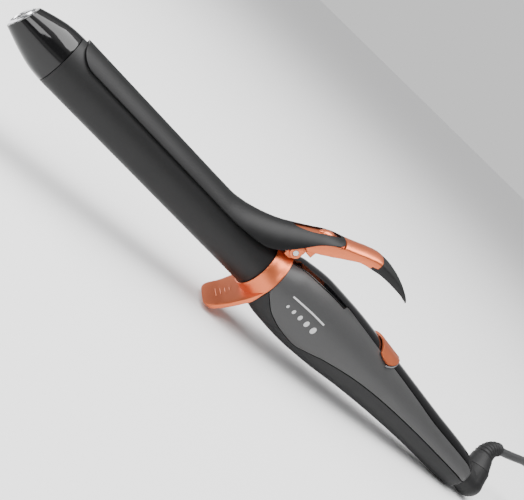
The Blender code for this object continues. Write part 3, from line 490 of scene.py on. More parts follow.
boot = {
    "swivelX": 0.205, "turn": math.radians(35), "straight": 0.0175,
    "bendRadius": 0.0125, "bend": math.radians(72), "startRadius": 0.0084, "endRadius": 0.0043,
    "firstAlong": 0.0101, "ribs": 7, "ribDepth": 0.0006,
    "ribbed": (0.34, 0.93),
}
boot["length"] = boot["straight"] + boot["bendRadius"] * boot["bend"]
outwardWay = Vector((0, math.sin(boot["turn"]), math.cos(boot["turn"])))
forwardWay = Vector((1, 0, 0))


def bootFrame(along):
    start = Vector((boot["swivelX"], 0, 0))
    if along <= boot["straight"]:
        return start + along * outwardWay, outwardWay, forwardWay
    turn, radius = (along - boot["straight"]) / boot["bendRadius"], boot["bendRadius"]
    centre = start + boot["straight"] * outwardWay
    centre += radius * (math.sin(turn) * outwardWay + (1 - math.cos(turn)) * forwardWay)
    direction = math.cos(turn) * outwardWay + math.sin(turn) * forwardWay
    return centre, direction, math.cos(turn) * forwardWay - math.sin(turn) * outwardWay


cord = {
    "radius": 0.0027, "sides": 12, "length": 1.8, "lift": 0.0013, "column": 0.0057,
    "run": 0.093, "fold": 0.0324, "x": 0.3445, "y": 0.0090, "step": 0.006,
    "straightSteps": 4, "crossSteps": 16, "bendSteps": 14,
}
hankZ = [cord["lift"] + cord["radius"] + k * cord["column"] for k in range(3)]
farOuter = cord["y"] + cord["fold"] / 2 + cord["column"]
tailX = cord["x"] + cord["run"] / 2 + 0.0210
cordRoute = [
    (0.1976, 0.0178, 0.0325), (0.2045, 0.0200, 0.0330), (0.2118, 0.0229, 0.0334),
    (0.2180, 0.0258, 0.0336), (0.2243, 0.0286, 0.0336), (0.2330, 0.0315, 0.0325),
    (0.2430, 0.0330, 0.0288), (0.2530, 0.0332, 0.0238), (0.2630, 0.0325, 0.0192),
    (0.2730, 0.0315, 0.0164), (0.2820, farOuter, 0.0154),
]
tailRoute = [
    (tailX, cord["y"] + 0.0162, 0.0041), (tailX + 0.006, cord["y"] + 0.0155, 0.0043),
    (tailX + 0.012, cord["y"] + 0.0135, 0.0054), (tailX + 0.018, cord["y"] + 0.0114, 0.0069),
    (tailX + 0.024, cord["y"] + 0.0110, 0.0070), (tailX + 0.026, cord["y"] + 0.0110, 0.0070),
]


def hankPoints():
    # five turns, each on its own track; every change of track is made along the near run
    inner, outer = cord["fold"] / 2, cord["fold"] / 2 + cord["column"]
    low, middle, top = hankZ
    tracks = [(outer, top), (inner, top), (inner, middle), (outer, middle), (outer, low), (inner, low)]
    half, points = cord["run"] / 2, []
    straights, crossings, bends = cord["straightSteps"], cord["crossSteps"], cord["bendSteps"]

    def put(x, y, z):
        points.append(Vector((cord["x"] + x, cord["y"] + y, z)))

    for number, (track, following) in enumerate(zip(tracks, tracks[1:])):
        for k in range(straights):
            put(mix(-half, half, k / straights), track[0], track[1])
        for k in range(bends):
            turn = math.pi * k / bends
            put(half + track[0] * math.sin(turn), track[0] * math.cos(turn), track[1])
        for k in range(crossings):
            share = k / crossings
            window = 2 * share if number % 2 else 2 * share - 1
            window = max(0.0, min(1.0, window))
            eased = window * window * (3 - 2 * window)
            reach, height = mix(track[0], following[0], eased), mix(track[1], following[1], eased)
            put(mix(half, -half, share), -reach, height)
        for k in range(bends):
            turn = math.pi * k / bends
            put(-half - following[0] * math.sin(turn), -following[0] * math.cos(turn), following[1])
    for k in range(straights):
        put(mix(-half, half, k / straights), inner, low)
    return points


bootEnd, bootWay, _ = bootFrame(boot["length"])
cordStart = ironFrame @ bootEnd
cordWay = ironFrame.to_3x3() @ bootWay
firstRun = throughPoints([cordStart - 0.004 * cordWay, cordStart, *cordRoute], cord["step"])
hankRun = hankPoints()
lastRun = throughPoints([(cord["x"] + cord["run"] / 2, tailRoute[0][1], hankZ[0]), *tailRoute], cord["step"])
cordPath = firstRun[:-1] + throughPoints([cordRoute[-1], hankRun[0]], cord["step"]) + hankRun[1:] + lastRun


def cordTube(name, path):
    # an open poly curve with a round bevel, made a mesh
    data = bpy.data.curves.new(name, "CURVE")
    data.dimensions = "3D"
    data.bevel_depth = cord["radius"]
    data.bevel_resolution = cord["sides"] // 2 - 2
    data.use_fill_caps = True
    line = data.splines.new("POLY")
    line.points.add(len(path) - 1)
    for point, place in zip(line.points, path):
        point.co = (*place, 1)
    obj = bpy.data.objects.new(name, data)
    bpy.context.collection.objects.link(obj)
    pick(obj)
    bpy.ops.object.convert(target="MESH")
    return bpy.context.object


mainsCord = onGround(cordTube("mainsCord", cordPath), None, cordGrey, "cord_grey", angle=60)
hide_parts("cord_run", "cord_tail", "cord_hank")
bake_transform(mainsCord)


def bootPoint(u, v):
    along = mix(boot["firstAlong"], boot["length"], v)
    centre, direction, across = bootFrame(along)
    side = direction.cross(across)
    radius = mix(boot["startRadius"], boot["endRadius"], v**0.8)
    first, last = boot["ribbed"]
    if first < v < last:
        wave = math.sin(math.pi * boot["ribs"] * (v - first) / (last - first)) ** 2
        radius -= boot["ribDepth"] * min(1.0, 2.2 * wave)
    angle = 2 * math.pi * u
    return centre + radius * (math.cos(angle) * across + math.sin(angle) * side)


bootPiece = gridPiece("strainRelief", 48, 90, bootPoint, closed=True)
bevelEdges(bootPiece, 0.0005, 3, 50)
onIron(bootPiece, "swivel", bootGrey, "cord_grey", "strain_relief", angle=50)

tie = {"width": 0.008, "wall": 0.0009, "clear": 0.0002, "squareness": 0.22}
plug = {
    "length": 0.034, "pinSpacing": 0.019, "pinRadius": 0.002, "pinLength": 0.0096, "pinMiddle": 0.0142,
    "sleeveRadius": 0.00195, "sleeveLength": 0.0095, "sleeveMiddle": 0.0046, "corners": 0.62,
    # along the body: X, half width, half height
    "outline": ((0.0, 0.0042, 0.0040), (0.008, 0.0050, 0.0048), (0.014, 0.0074, 0.0060),
                (0.020, 0.0112, 0.0068), (0.027, 0.0136, 0.0070), (0.034, 0.0138, 0.0068)),
}


def tiePoint(u, v):
    # the band follows the hank's two sides and its top and bottom, with round corners
    halfY = cord["fold"] / 2 + cord["column"] + cord["radius"] + tie["clear"]
    lowZ = cord["lift"] - tie["clear"]
    highZ = hankZ[2] + cord["radius"] + tie["clear"]
    angle = 2 * math.pi * u
    c, s = math.cos(angle), math.sin(angle)
    y = halfY * math.copysign(abs(c) ** tie["squareness"], c)
    z = mix(lowZ, highZ, 0.5) + (highZ - lowZ) / 2 * math.copysign(abs(s) ** tie["squareness"], s)
    return Vector((cord["x"] + (v - 0.5) * tie["width"], cord["y"] + y, z))


tieBand = gridPiece("cordTie", 160, 4, tiePoint)
editAll(tieBand)
bpy.ops.mesh.remove_doubles(threshold=0.000002)
leaveEdit()
tieMiddle = mix(cord["lift"], hankZ[2] + cord["radius"], 0.5)
facingOut(tieBand, lambda p: Vector((p.x, cord["y"], tieMiddle)))
tieWall = tieBand.modifiers.new("wall", "SOLIDIFY")
tieWall.thickness, tieWall.offset = tie["wall"], 1
applyAll(tieBand)
bevelEdges(tieBand, 0.0002, 2)
onGround(tieBand, "handle", tieWeave, "shell_grey", "cord_tie")

plugStart = Vector(tailRoute[-1]) + Vector((0.0005, 0, 0))


def plugPoint(u, v):
    # a flat two-pin plug: narrow where the cord enters, wide and soft-edged at the pins
    x = v * plug["length"]
    wide, tall = readTable(plug["outline"], x, 1), readTable(plug["outline"], x, 2)
    grooves = 0.0004 if v < 0.34 and int(v * 26) % 2 else 0.0
    angle = 2 * math.pi * u
    c, s = math.cos(angle), math.sin(angle)
    y = (wide - grooves) * math.copysign(abs(c) ** plug["corners"], c)
    z = (tall - grooves) * math.copysign(abs(s) ** plug["corners"], s)
    return plugStart + Vector((x, y, z))


plugBody = gridPiece("plugBody", 64, 80, plugPoint, closed=True)
bevelEdges(plugBody, 0.0008, 3, 50)
onGround(plugBody, "handle", shellGrey, "shell_grey", "plug_body", angle=45)
for where, side in sides.items():
    base = plugStart + Vector((plug["length"], side * plug["pinSpacing"] / 2, 0))
    sleeve = rodPiece(f"plugSleeve_{where}", plug["sleeveRadius"], plug["sleeveLength"],
                      base + Vector((plug["sleeveMiddle"], 0, 0)), (0, math.pi / 2, 0), 32)
    onGround(bevelEdges(sleeve, 0.0001, 2), "handle", glossBlack, "gloss_black")
    pin = rodPiece(f"plugPin_{where}", plug["pinRadius"], plug["pinLength"],
                   base + Vector((plug["pinMiddle"], 0, 0)), (0, math.pi / 2, 0), 32)
    onGround(bevelEdges(pin, 0.0009, 4), "handle", brass, "brass", f"plug_pin_{where}")

[tuple(p) for p in cordPath]
print("cord laid:", round(sum((b - a).length for a, b in zip(cordPath, cordPath[1:])), 3), "m")

# barrel and cool tip

barrel = {"radius": 0.014, "wall": 0.001, "front": -0.1415, "rear": 0.008, "edge": 0.0002}
coolTip = {
    "face": (-0.1659, 0, 0.0005), "slant": math.radians(16), "recess": 0.0054, "depth": 0.0050,
    "outline": ((-0.1760, 0.0042), (-0.1720, 0.0058), (-0.1650, 0.0084), (-0.1600, 0.0102),
                (-0.1550, 0.0118), (-0.1500, 0.0131), (-0.1455, 0.01375), (-0.1418, 0.0140)),
    "slotWidth": 0.0011,
}
tube = turnedPiece("barrelTube", [
    (barrel["rear"], barrel["radius"]), (barrel["front"], barrel["radius"]),
    (barrel["front"], barrel["radius"] - barrel["wall"]), (barrel["rear"], barrel["radius"] - barrel["wall"]),
], 128)
onIron(bevelEdges(tube, barrel["edge"], 2), "handle", coating, "coated_aluminium", "barrel_tube")

tipTurn = Matrix.Rotation(-(math.pi / 2 - coolTip["slant"]), 4, "Y")
tipFrame = Matrix.Translation(coolTip["face"]) @ tipTurn


def onTip(obj):
    obj.data.transform(tipFrame)
    return obj


def makeCoolTip():
    profile = [(-0.154, 0), (-0.154, 0.0088), (-0.134, 0.0106), (-0.134, 0.0127), (-0.1418, 0.0127)]
    count = 44
    for k in range(count + 1):
        x = mix(coolTip["outline"][-1][0], coolTip["outline"][0][0], k / count)
        profile.append((x, readTable(coolTip["outline"], x)))
    profile.append((coolTip["outline"][0][0], 0))
    tip = turnedPiece("coolTip", profile, 96)
    editAll(tip)
    normal = tipFrame.to_3x3() @ Vector((0, 0, 1))
    bpy.ops.mesh.bisect(plane_co=coolTip["face"], plane_no=normal, use_fill=True, clear_outer=True)
    leaveEdit()
    cutWith(tip,
            onTip(rodPiece("tipRecess", coolTip["recess"], 2 * coolTip["depth"], (0, 0, 0), sidesCount=96)))
    bevelEdges(tip, 0.0003, 3, 38)
    onIron(tip, "handle", glossBlack, "gloss_black", "cool_tip", angle=30)

    mouth = coolTip["recess"] - seam
    ring = turnedPiece("tipRing", [
        (0.0003, mouth), (0.0009, mouth), (0.00125, mouth + 0.0005), (0.0012, mouth + 0.0010),
        (0.0008, mouth + 0.0014), (0.0003, mouth + 0.0015),
    ], 96)
    ring.data.transform(Matrix.Rotation(-math.pi / 2, 4, "Y"))
    onIron(onTip(bevelEdges(ring, 0.0001, 2)), "handle", chrome, "chrome", "tip_ring")

    insert = turnedPiece("tipInsert", [
        (-0.0030, 0), (-0.0030, 0.0049), (-0.0020, 0.0050), (-0.0018, 0.0048),
        (-0.0018, 0.0040), (-0.0024, 0.0036), (-0.0024, 0),
    ], 72)
    insert.data.transform(Matrix.Rotation(-math.pi / 2, 4, "Y"))
    cutWith(insert, boxPiece("insertSlot", (0.0060, coolTip["slotWidth"], 0.0012), (0, 0, -0.0022)))
    onIron(onTip(bevelEdges(insert, 0.00012, 2)), "handle", shellGrey, "shell_grey", "tip_insert")


makeCoolTip()
print("barrel and cool tip made")


# collar with its stand tab and hinge ears

collar = {
    "rear": 0.0093, "rim": 0.0179, "thick": 0.0034, "pivot": (0.006, 0, 0.0198),
    "earInner": 0.0038, "earOuter": 0.0066, "earRadius": 0.0030, "pinRadius": 0.0015,
    # down the tab: Z, X of its front face, half width
    "tab": ((-0.0335, -0.0048, 0.0104), (-0.0322, -0.0041, 0.0120), (-0.0300, -0.0028, 0.0129),
            (-0.0250, 0.0004, 0.0138), (-0.0180, 0.0036, 0.0152), (-0.0120, 0.0058, 0.0165),
            (-0.0080, 0.0070, 0.0171), (-0.0040, 0.0085, 0.0173)),
    "tabRear": 0.0090, "footShare": 0.10, "footRound": 0.0022,
}


def roundedLoop(u, halfX, halfY, power=0.22):
    angle = 2 * math.pi * u + math.pi / 4
    c, s = math.cos(angle), math.sin(angle)
    return halfX * math.copysign(abs(c) ** power, c), halfY * math.copysign(abs(s) ** power, s)


def knuckle(radius, rootHalf, rootZ):
    px, pz = collar["pivot"][0], collar["pivot"][2]
    side = 1 if rootZ < pz else -1
    over = [(px + radius * math.cos(a), pz + side * radius * math.sin(a))
            for a in [math.pi * k / 24 for k in range(25)]]
    return over + [(px - rootHalf, rootZ), (px + rootHalf, rootZ)]


def pinBore(name):
    return rodPiece(name, collar["pinRadius"] + 0.0001, 0.03, collar["pivot"], (math.pi / 2, 0, 0), 32)


def makeCollar():
    flare = [
        (collar["rear"], 0.0143), (collar["rear"], collar["rim"] - 0.0004),
        (collar["rear"] - 0.0005, collar["rim"]), (0.0083, 0.01765), (0.0070, 0.0168),
        (0.0055, 0.0161), (0.0040, 0.01565), (0.0022, 0.0153), (0.0006, 0.0151),
        (0.0, 0.0148), (0.0, 0.0143),
    ]
    ring = turnedPiece("collarStand", flare, 144)

    def tabPoint(u, v):
        z = mix(collar["tab"][0][0], collar["tab"][-1][0], v)
        x, half = readTable(collar["tab"], z, 1), readTable(collar["tab"], z, 2)
        if v < collar["footShare"]:  # round corners at the foot
            half -= collar["footRound"] * (1 - math.sqrt(1 - (1 - v / collar["footShare"]) ** 2))
        rear = min(x + collar["thick"], collar["tabRear"])
        dx, dy = roundedLoop(u, (rear - x) / 2, half)
        return Vector(((x + rear) / 2 + dx, dy, z))

    tab = gridPiece("tabForm", 96, 72, tabPoint, closed=True)
    bevelEdges(tab, 0.0006, 3, 50)
    cutWith(ring, tab, "UNION")
    for side in sides.values():
        ear = slabPiece("earForm", knuckle(collar["earRadius"], collar["earRadius"], 0.0150),
                        (collar["earOuter"] - collar["earInner"]) / 2)
        ear.data.transform(Matrix.Translation((0, side * (collar["earInner"] + collar["earOuter"]) / 2, 0)))
        cutWith(ring, ear, "UNION")
    cutWith(ring, rodPiece("bore", barrel["radius"] + seam, 0.04, (0, 0, 0), (0, math.pi / 2, 0), 144))
    cutWith(ring, pinBore("collarPinBore"))
    bevelEdges(ring, 0.00018, 2, 40)
    onIron(ring, "handle", copper, "copper_finish", "collar_stand", angle=28)


makeCollar()

tabRibs = {"heights": (-0.0206, -0.0228, -0.0250, -0.0272), "halfLengths": (0.0016, 0.0024, 0.0032, 0.0040),
           "radius": 0.00042}


def makeTabRibs():
    # plain touch ribs on the tab's face, longer towards the foot
    for number, (z, half) in enumerate(zip(tabRibs["heights"], tabRibs["halfLengths"]), 1):
        x = readTable(collar["tab"], z, 1)

        def ribPoint(u, v):
            y = mix(-half, half, v)
            share = min(1.0, (half - abs(y)) / tabRibs["radius"])
            radius = tabRibs["radius"] * math.sqrt(max(0.0, 1 - (1 - share) ** 2)) + 0.00001
            angle = 2 * math.pi * u
            return Vector((x + 0.4 * radius * math.cos(angle), y, z + radius * math.sin(angle)))

        rib = gridPiece(f"tabRib_{number}", 20, 48, ribPoint, closed=True)
        onIron(rib, "handle", copper, "copper_finish", angle=60)


makeTabRibs()
print("collar and stand tab made")


# clip sheet

clip = {
    "radius": 0.0155, "thick": 0.001, "front": -0.1385, "arc": math.radians(55), "corner": 0.010,
    "windowPlace": (0.0075, 0, 0.0350), "windowSlope": math.radians(30), "windowHalf": (0.0134, 0.0042),
    # along the sheet's outer face: X, top Z, half width, drop to the side edge, half arc in degrees
    "stations": (
        (-0.0500, 0.0155, 0.0127, 0.0066, 55), (-0.038, 0.0156, 0.0129, 0.0067, 56),
        (-0.0300, 0.0168, 0.0132, 0.0077, 58), (-0.0220, 0.0191, 0.0134, 0.0092, 62),
        (-0.0140, 0.0223, 0.0134, 0.0114, 68), (-0.0080, 0.0254, 0.0131, 0.0130, 74),
        (-0.0030, 0.0286, 0.0126, 0.0132, 76), (0.0010, 0.0312, 0.0120, 0.0118, 76),
        (0.0060, 0.0345, 0.0110, 0.0088, 74), (0.0110, 0.0378, 0.0100, 0.0055, 70),
        (0.0160, 0.0403, 0.0092, 0.0034, 66), (0.0200, 0.0418, 0.0080, 0.0022, 62),
        (0.0215, 0.0424, 0.0062, 0.0014, 58),
    ),
}


def sheetPoint(x, across):
    if x < -0.05:
        into = min(x - clip["front"], clip["corner"])
        inset = clip["corner"] - math.sqrt(clip["corner"]**2 - (clip["corner"] - into) ** 2)
        arc = clip["arc"] - 0.93 * inset / clip["radius"]
        top, half = clip["radius"], clip["radius"] * math.sin(arc)
        drop = clip["radius"] * (1 - math.cos(arc))
    else:
        top, half, drop, arc = (readTable(clip["stations"], x, column) for column in (1, 2, 3, 4))
        arc = math.radians(arc)
    angle = across * arc
    fall = drop * (1 - math.cos(angle)) / (1 - math.cos(arc))
    return Vector((x, half * math.sin(angle) / math.sin(arc), top - fall))


def makeClipSheet():
    marks = [clip["front"] + 0.0100 * (k / 16) ** 2 for k in range(17)]
    marks += [mix(-0.1285, -0.05, k / 20) for k in range(1, 21)]
    marks += [mix(-0.05, 0.020, k / 70) for k in range(1, 71)]
    marks += [0.0204, 0.0208, 0.0212, 0.0215]

    last = len(marks) - 1
    sheet = gridPiece("clipSheet", 56, last, lambda u, v: sheetPoint(marks[round(v * last)], 2 * u - 1))
    facingOut(sheet)
    wallInwards(sheet, clip["thick"])
    opening = rodPiece("windowForm", 1, 0.02, (0, 0, 0), sidesCount=72)
    opening.data.transform(
        Matrix.Translation(clip["windowPlace"]) @ Matrix.Rotation(-clip["windowSlope"], 4, "Y")
        @ Matrix.Diagonal((*clip["windowHalf"], 1, 1))
    )
    cutWith(sheet, opening)
    bevelEdges(sheet, 0.00025, 3, 40)
    onIron(sheet, "clip", clipCoating, "coated_aluminium", "clip_plate", angle=30)


makeClipSheet()


# lever under the sheet, its cap and the thumb rest

lever = {
    "thumbTop": 0.0432, "thumbUnder": 0.0402, "end": 0.0735, "socketX": 0.0400, "socketZ": 0.0462,
    "sheetEnd": 0.02225, "cheekY": 0.0080, "cheekThick": 0.0020,
    "capPlace": (0.0125, 0, 0.0371), "capSize": (0.0044, 0.0032, 0.0018),
    "lug": ((0.0118, 0.0290), (0.0118, 0.0228), (0.0160, 0.0226), (0.0160, 0.0300)), "lugHalf": 0.0035,
    # under the sheet: X, bottom Z, half width
    "covered": ((-0.0055, 0.0222, 0.0046), (-0.0020, 0.0232, 0.0060), (0.0010, 0.0236, 0.0068),
                (0.0045, 0.0236, 0.0076), (0.0080, 0.0239, 0.0080), (0.0120, 0.0258, 0.0080),
                (0.0160, 0.0282, 0.0079), (0.0200, 0.0309, 0.0078), (0.0222, 0.0323, 0.0078)),
    # past the sheet: X, top Z, bottom Z, half width
    "bare": ((0.0223, 0.0427, 0.0324, 0.0078), (0.0290, 0.0457, 0.0372, 0.0078),
             (0.0350, 0.0485, 0.0410, 0.0079), (0.0425, 0.0510, 0.0430, 0.0080),
             (0.0490, 0.0514, 0.0444, 0.0081), (0.0560, 0.0508, 0.0449, 0.0080),
             (0.0620, 0.0495, 0.0450, 0.0075), (0.0680, 0.0474, 0.0447, 0.0065),
             (0.0720, 0.0452, 0.0439, 0.0046), (0.0735, 0.0441, 0.0434, 0.0022)),
}


def underSheet(x, y):
    top, half, drop, arc = (readTable(clip["stations"], x, column) for column in (1, 2, 3, 4))
    arc = math.radians(arc)
    angle = math.asin(max(-1, min(1, y / half)) * math.sin(arc))
    fall = drop / (1 - math.cos(arc))
    slope = fall * math.tan(angle) * math.sin(arc) / half
    return top - fall * (1 - math.cos(angle)) - (clip["thick"] + seam + 0.0001) * math.sqrt(1 + slope**2)


def barPoint(x, u):
    # round the lever's section: arched top, upright sides, hollowed underside
    covered = x < lever["sheetEnd"]
    if covered:
        bottom, half = readTable(lever["covered"], x, 1), readTable(lever["covered"], x, 2)
        topAt, height = lambda y, a: underSheet(x, y), 0.004
    else:
        top, bottom, half = (readTable(lever["bare"], x, column) for column in (1, 2, 3))
        crown = min(0.45 * (top - bottom), 0.0032)
        topAt, height = lambda y, a: top - crown * (1 - math.cos(a)), top - bottom
    hollow = min(0.3 * height, 0.0014)
    if u <= 0.5:
        a = mix(-math.pi / 2, math.pi / 2, u / 0.5)
        y = half * math.sin(a)
        return Vector((x, y, topAt(y, a)))
    if u <= 0.6 or u >= 0.9:
        share, side = ((u - 0.5) / 0.1, 1) if u <= 0.6 else ((1 - u) / 0.1, -1)
        high = topAt(side * half, side * math.pi / 2)
        eased = share * share
        return Vector((x, side * half * (1 - 0.06 * eased * eased), mix(high, bottom + 0.02 * height, share)))
    across = mix(0.94, -0.94, (u - 0.6) / 0.3)
    lip = 1 - min(1.0, (abs(across) / 0.84) ** 4) if abs(across) < 0.84 else 0
    return Vector((x, half * across, bottom + hollow * lip))


def boundaryX(u):
    # where the copper ends: further forward on the underside
    return lever["thumbUnder"] if 0.555 < u < 0.945 else lever["thumbTop"]


def makeLever():
    marks = [mix(-0.0055, 0.0222, k / 60) for k in range(61)]
    marks += [mix(0.0223, 0.0400, k / 30) for k in range(31)]
    last = 8

    def leverPoint(u, v):
        if v > 0.9999:
            return Vector((lever["socketX"], 0, lever["socketZ"]))
        k = round(v * (len(marks) + last))
        x = marks[k] if k < len(marks) else mix(0.0400, boundaryX(u), (k - len(marks) + 1) / last)
        return barPoint(x, u)

    body = gridPiece("leverBody", 80, len(marks) + last, leverPoint, closed=True)
    bevelEdges(body, 0.0002, 2, 44)
    onIron(body, "clip", copper, "copper_finish", "lever_body", angle=28)
    for where, side in sides.items():
        cheek = slabPiece(f"hingeCheek_{where}", knuckle(0.0032, 0.0030, 0.0248), lever["cheekThick"] / 2)
        cheek.data.transform(Matrix.Translation((0, side * lever["cheekY"], 0)))
        cutWith(cheek, pinBore("cheekBore"))
        onIron(bevelEdges(cheek, 0.00025, 3, 34), "clip", copper, "copper_finish")
    lug = slabPiece("springLug", lever["lug"], lever["lugHalf"])
    onIron(bevelEdges(lug, 0.0004, 3, 34), "clip", copper, "copper_finish")

    cap = ballPiece("leverCap", lever["capSize"], (0, 0, 0))
    cap.data.transform(Matrix.Translation(lever["capPlace"]) @ Matrix.Rotation(-clip["windowSlope"], 4, "Y"))
    onIron(cap, "clip", capCopper, "copper_finish", "lever_cap", angle=60)

    def restPoint(u, v):
        if v < 0.0001:
            return Vector((lever["socketX"] + seam, 0, lever["socketZ"]))
        return barPoint(mix(boundaryX(u) + seam, lever["end"], (v * 91 - 1) / 90), u)

    rest = gridPiece("thumbRest", 80, 91, restPoint, closed=True)
    bevelEdges(rest, 0.0003, 3, 44)
    onIron(rest, "clip", shellGrey, "shell_grey", "thumb_rest", angle=30)


makeLever()
print("clip and lever made")


# handle

handle = {
    "end": 0.194, "wall": 0.0018, "seam": 0.0005, "power": 2.15, "edge": 0.00022,
    # along the handle: X, top Z, bottom Z, half width
    "stations": (
        (0.0096, 0.0158, -0.0175, 0.0173), (0.020, 0.0196, -0.0194, 0.0186), (0.040, 0.0221, -0.0204, 0.0190),
        (0.060, 0.0218, -0.0193, 0.0186), (0.090, 0.0199, -0.0158, 0.0166), (0.120, 0.0175, -0.0134, 0.0144),
        (0.150, 0.0150, -0.0121, 0.0126), (0.185, 0.0124, -0.0115, 0.0115),
        (0.1905, 0.0108, -0.0112, 0.0109), (0.194, 0.0090, -0.0093, 0.0092),
    ),
    # seams, in degrees round from the top
    "strip": ((0.0096, 23), (0.020, 28), (0.036, 33), (0.048, 33), (0.0505, 23.5), (0.065, 28), (0.082, 32),
              (0.100, 34), (0.125, 39), (0.150, 45), (0.194, 45)),
    "panel": ((0.0096, 93), (0.0135, 104), (0.0215, 119), (0.033, 129), (0.044, 132), (0.052, 124),
              (0.062, 113),
              (0.086, 102), (0.110, 97), (0.150, 93), (0.194, 90)),
    "screws": (0.034, 0.128, 0.172),
}
handleMarks = ([mix(0.0096, 0.047, k / 34) for k in range(35)]
               + [mix(0.0475, 0.051, k / 10) for k in range(11)])
handleMarks += [mix(0.053, 0.184, k / 60) for k in range(61)] + [mix(0.185, 0.194, k / 16) for k in range(17)]


def handlePoint(x, angle, out=0.0):
    top, bottom = readTable(handle["stations"], x, 1) + out, readTable(handle["stations"], x, 2) - out
    half = readTable(handle["stations"], x, 3) + out
    s, c = math.sin(angle), math.cos(angle)
    power = 2 / handle["power"]
    y = half * math.copysign(abs(s) ** power, s)
    return Vector((x, y, (top + bottom) / 2 + (top - bottom) / 2 * math.copysign(abs(c) ** power, c)))


def stripAngle(x):
    return math.radians(readTable(handle["strip"], x))


def panelAngle(x):
    return math.radians(readTable(handle["panel"], x))


def wallPiece(name, lowAngle, highAngle, columns):
    count = len(handleMarks) - 1

    def placeAt(u, v):
        x = handleMarks[round(v * count)]
        gap = 0.5 * handle["seam"] / readTable(handle["stations"], x, 3)
        return handlePoint(x, mix(lowAngle(x) + gap, highAngle(x) - gap, u))

    return wallInwards(facingOut(gridPiece(name, columns, count, placeAt)), handle["wall"])


def makeHandle():
    strip = wallPiece("topStrip", lambda x: -stripAngle(x), stripAngle, 28)
    cutWith(strip, boxPiece("slotForm", (0.0105, 0.0052, 0.012), (0.0905, 0, 0.0195)))
    onIron(bevelEdges(strip, handle["edge"], 2, 40), "handle", glossBlack, "gloss_black", "top_panel")
    for where, side in sides.items():
        low, high = stripAngle, panelAngle
        if side < 0:
            low, high = lambda x: -panelAngle(x), lambda x: -stripAngle(x)
        panel = wallPiece(f"sidePanel_{where}", low, high, 36)
        onIron(bevelEdges(panel, handle["edge"], 2, 40), "handle",
               panelGrey, "panel_grey", f"side_panel_{where}")

    shell = wallPiece("lowerShell", panelAngle, lambda x: 2 * math.pi - panelAngle(x), 60)
    slope = math.tan(tilt)
    footX, footZ = stand["foot"]
    support = slabPiece("standSupport", (
        (0.0097, -0.0160), (0.0097, -0.0183), (0.0073, -0.0188), (0.0044, -0.0248), (0.0012, -0.0300),
        (-0.0002, -0.0322), (-0.0008, -0.0338), (-0.0046, -0.0338), (-0.0044, -0.0350),
        (footX - 0.0040, footZ - 0.0040 * slope), (footX, footZ), (0.0034, -0.0339), (0.0050, -0.0319),
        (0.0067, -0.0296), (0.0086, -0.0271), (0.0108, -0.0243), (0.0130, -0.0216),
        (0.0150, -0.0193), (0.0165, -0.0175),
    ), stand["halfWidth"])
    for vertex in support.data.vertices:  # narrower where it runs into the round shell
        share = max(0.0, min(1.0, (vertex.co.z + 0.0300) / 0.0110))
        vertex.co.y *= mix(1, 0.5, share * share * (3 - 2 * share))
    bevelEdges(support, 0.0005, 3, 30)
    cutWith(shell, support, "UNION")
    for place in handle["screws"]:
        low = readTable(handle["stations"], place, 2)
        cutWith(shell, rodPiece("screwWell", 0.0031, 0.012, (place, 0, low), sidesCount=48))
    bevelEdges(shell, 0.0002, 2, 40)
    onIron(shell, "handle", shellGrey, "shell_grey", "lower_shell", angle=28)


makeHandle()
print("handle made")


# plain print on the near panel: a fine rule and a row of growing dots

printed = {"ruleX": (0.0200, 0.0440), "ruleAngle": -math.radians(76), "ruleHalf": 0.00042,
           "dotAngle": -math.radians(91), "dotX": (0.0222, 0.0268, 0.0317, 0.0369, 0.0424),
           "dotRadius": (0.0007, 0.0009, 0.0011, 0.0013, 0.0015), "proud": 0.00012}


def makePrint():
    def onPanel(x, distance, angle):
        half = readTable(handle["stations"], x, 3)
        return handlePoint(x, angle - distance / half, printed["proud"])

    def rulePoint(u, v):
        return onPanel(mix(*printed["ruleX"], v), mix(-1, 1, u) * printed["ruleHalf"], printed["ruleAngle"])

    marks = [gridPiece("printedRule", 4, 60, rulePoint)]
    for number, (x, radius) in enumerate(zip(printed["dotX"], printed["dotRadius"]), 1):
        deselectAll()
        bpy.ops.mesh.primitive_circle_add(vertices=40, radius=radius, fill_type="TRIFAN")
        dot = bpy.context.object
        dot.name = dot.data.name = f"printedDot_{number}"
        for vertex in dot.data.vertices:
            vertex.co = onPanel(x + vertex.co.x, vertex.co.y, printed["dotAngle"])
        marks.append(dot)
    for mark in marks:
        wallInwards(facingOut(mark), printed["proud"] + 0.00008)
        onIron(mark, "handle", inkGrey, "panel_grey", angle=60)


makePrint()


# power slider and its rims

slider = {
    "front": 0.0838, "rear": 0.1010, "lift": 0.0004, "thick": 0.0014, "rimFront": 0.091,
    "rimGap": 0.0006, "rimWidth": 0.0010, "rimLift": 0.0009, "rimThick": 0.0006, "reach": 0.017,
    "edge": ((0.0838, 38), (0.087, 43), (0.091, 45), (0.095, 39), (0.0985, 26), (0.1010, 9)),
}


def sliderAngle(x):
    return math.radians(readTable(slider["edge"], x))


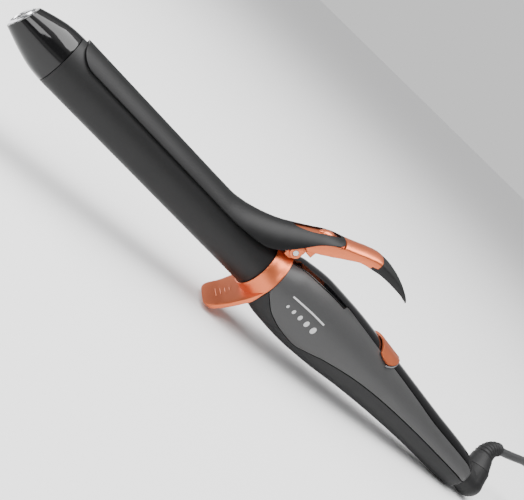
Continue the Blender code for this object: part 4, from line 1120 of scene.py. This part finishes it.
def makeSlider():
    out = slider["lift"] + slider["thick"]

    def capPoint(u, v):
        x = mix(slider["front"], slider["rear"], v)
        across = 2 * u - 1
        ridge = 0.0003 * max(0.0, 1 - abs(across) / 0.25)
        return handlePoint(x, across * sliderAngle(x), out - 0.0001 + ridge)

    cap = wallInwards(facingOut(gridPiece("powerSlider", 56, 48, capPoint)), slider["thick"] - 0.0001)
    onIron(bevelEdges(cap, 0.0003, 3, 40), "slider", copper, "copper_finish", "power_slider")
    for where, side in sides.items():
        def rimPoint(u, v):
            x = mix(slider["rimFront"], slider["rear"], v)
            angle = sliderAngle(x) + (slider["rimGap"] + u * slider["rimWidth"]) / slider["reach"]
            return handlePoint(x, side * angle, slider["rimLift"])

        rim = wallInwards(facingOut(gridPiece(f"sliderRim_{where}", 6, 60, rimPoint)), slider["rimThick"])
        onIron(bevelEdges(rim, 0.00015, 2, 40), "handle", chrome, "chrome", f"slider_rim_{where}")


makeSlider()


# swivel elbow

elbow = {"neck": 0.0082, "bulb": 0.0088, "turret": 0.0086, "seat": 0.0098}


def makeElbow():
    front = handle["end"] + seam
    body = turnedPiece("swivelElbow", [
        (boot["swivelX"], 0), (boot["swivelX"], elbow["neck"]), (front + 0.0006, elbow["neck"]),
        (front + 0.0002, elbow["neck"] - 0.0002), (front, elbow["neck"] - 0.0006), (front, 0),
    ], 96)
    bulb = ballPiece("bulbForm", (elbow["bulb"],) * 3, (0, 0, 0), segments=96, rings=48)
    bulb.data.transform(Matrix.Translation((boot["swivelX"], 0, 0)) @ Matrix.Rotation(-boot["turn"], 4, "X"))
    cutWith(body, bulb, "UNION")
    turret = rodPiece("turretForm", elbow["turret"], elbow["seat"], (0, 0, elbow["seat"] / 2), sidesCount=96)
    turret.data.transform(
        Matrix.Translation((boot["swivelX"], 0, 0)) @ Matrix.Rotation(-boot["turn"], 4, "X")
    )
    cutWith(body, turret, "UNION")
    bevelEdges(body, 0.0004, 3, 40)
    onIron(body, "swivel", shellGrey, "shell_grey", "swivel_elbow", angle=30)


makeElbow()
print("slider and swivel made")


# pieces kept from the frame, with their finishes

keptFinishes = {
    "tip_screw": steel, "hinge_pin": steel, "clip_spring": steel, "thermal_fuse": steel,
    "handle_screw_1": steel, "handle_screw_2": steel, "handle_screw_3": steel,
    "heater_shoe_upper": aluminium, "heater_shoe_lower": aluminium,
    "ptc_strip": ceramic, "barrel_bush": ceramic,
    "heater_lead_near": leadRed, "heater_lead_far": leadRed, "circuit_board": boardTan,
    "switch_body": shellGrey, "capacitor": shellGrey, "controller_chip": glossBlack, "triac": glossBlack,
    "slider_carrier": shellGrey, "swivel_socket": shellGrey, "swivel_spindle": brass,
    "contact_finger_near": brass, "contact_finger_far": brass,
}
for nodeName, finish in keptFinishes.items():
    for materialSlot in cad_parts[nodeName].material_slots:
        materialSlot.material = finish
print("kept pieces finished")
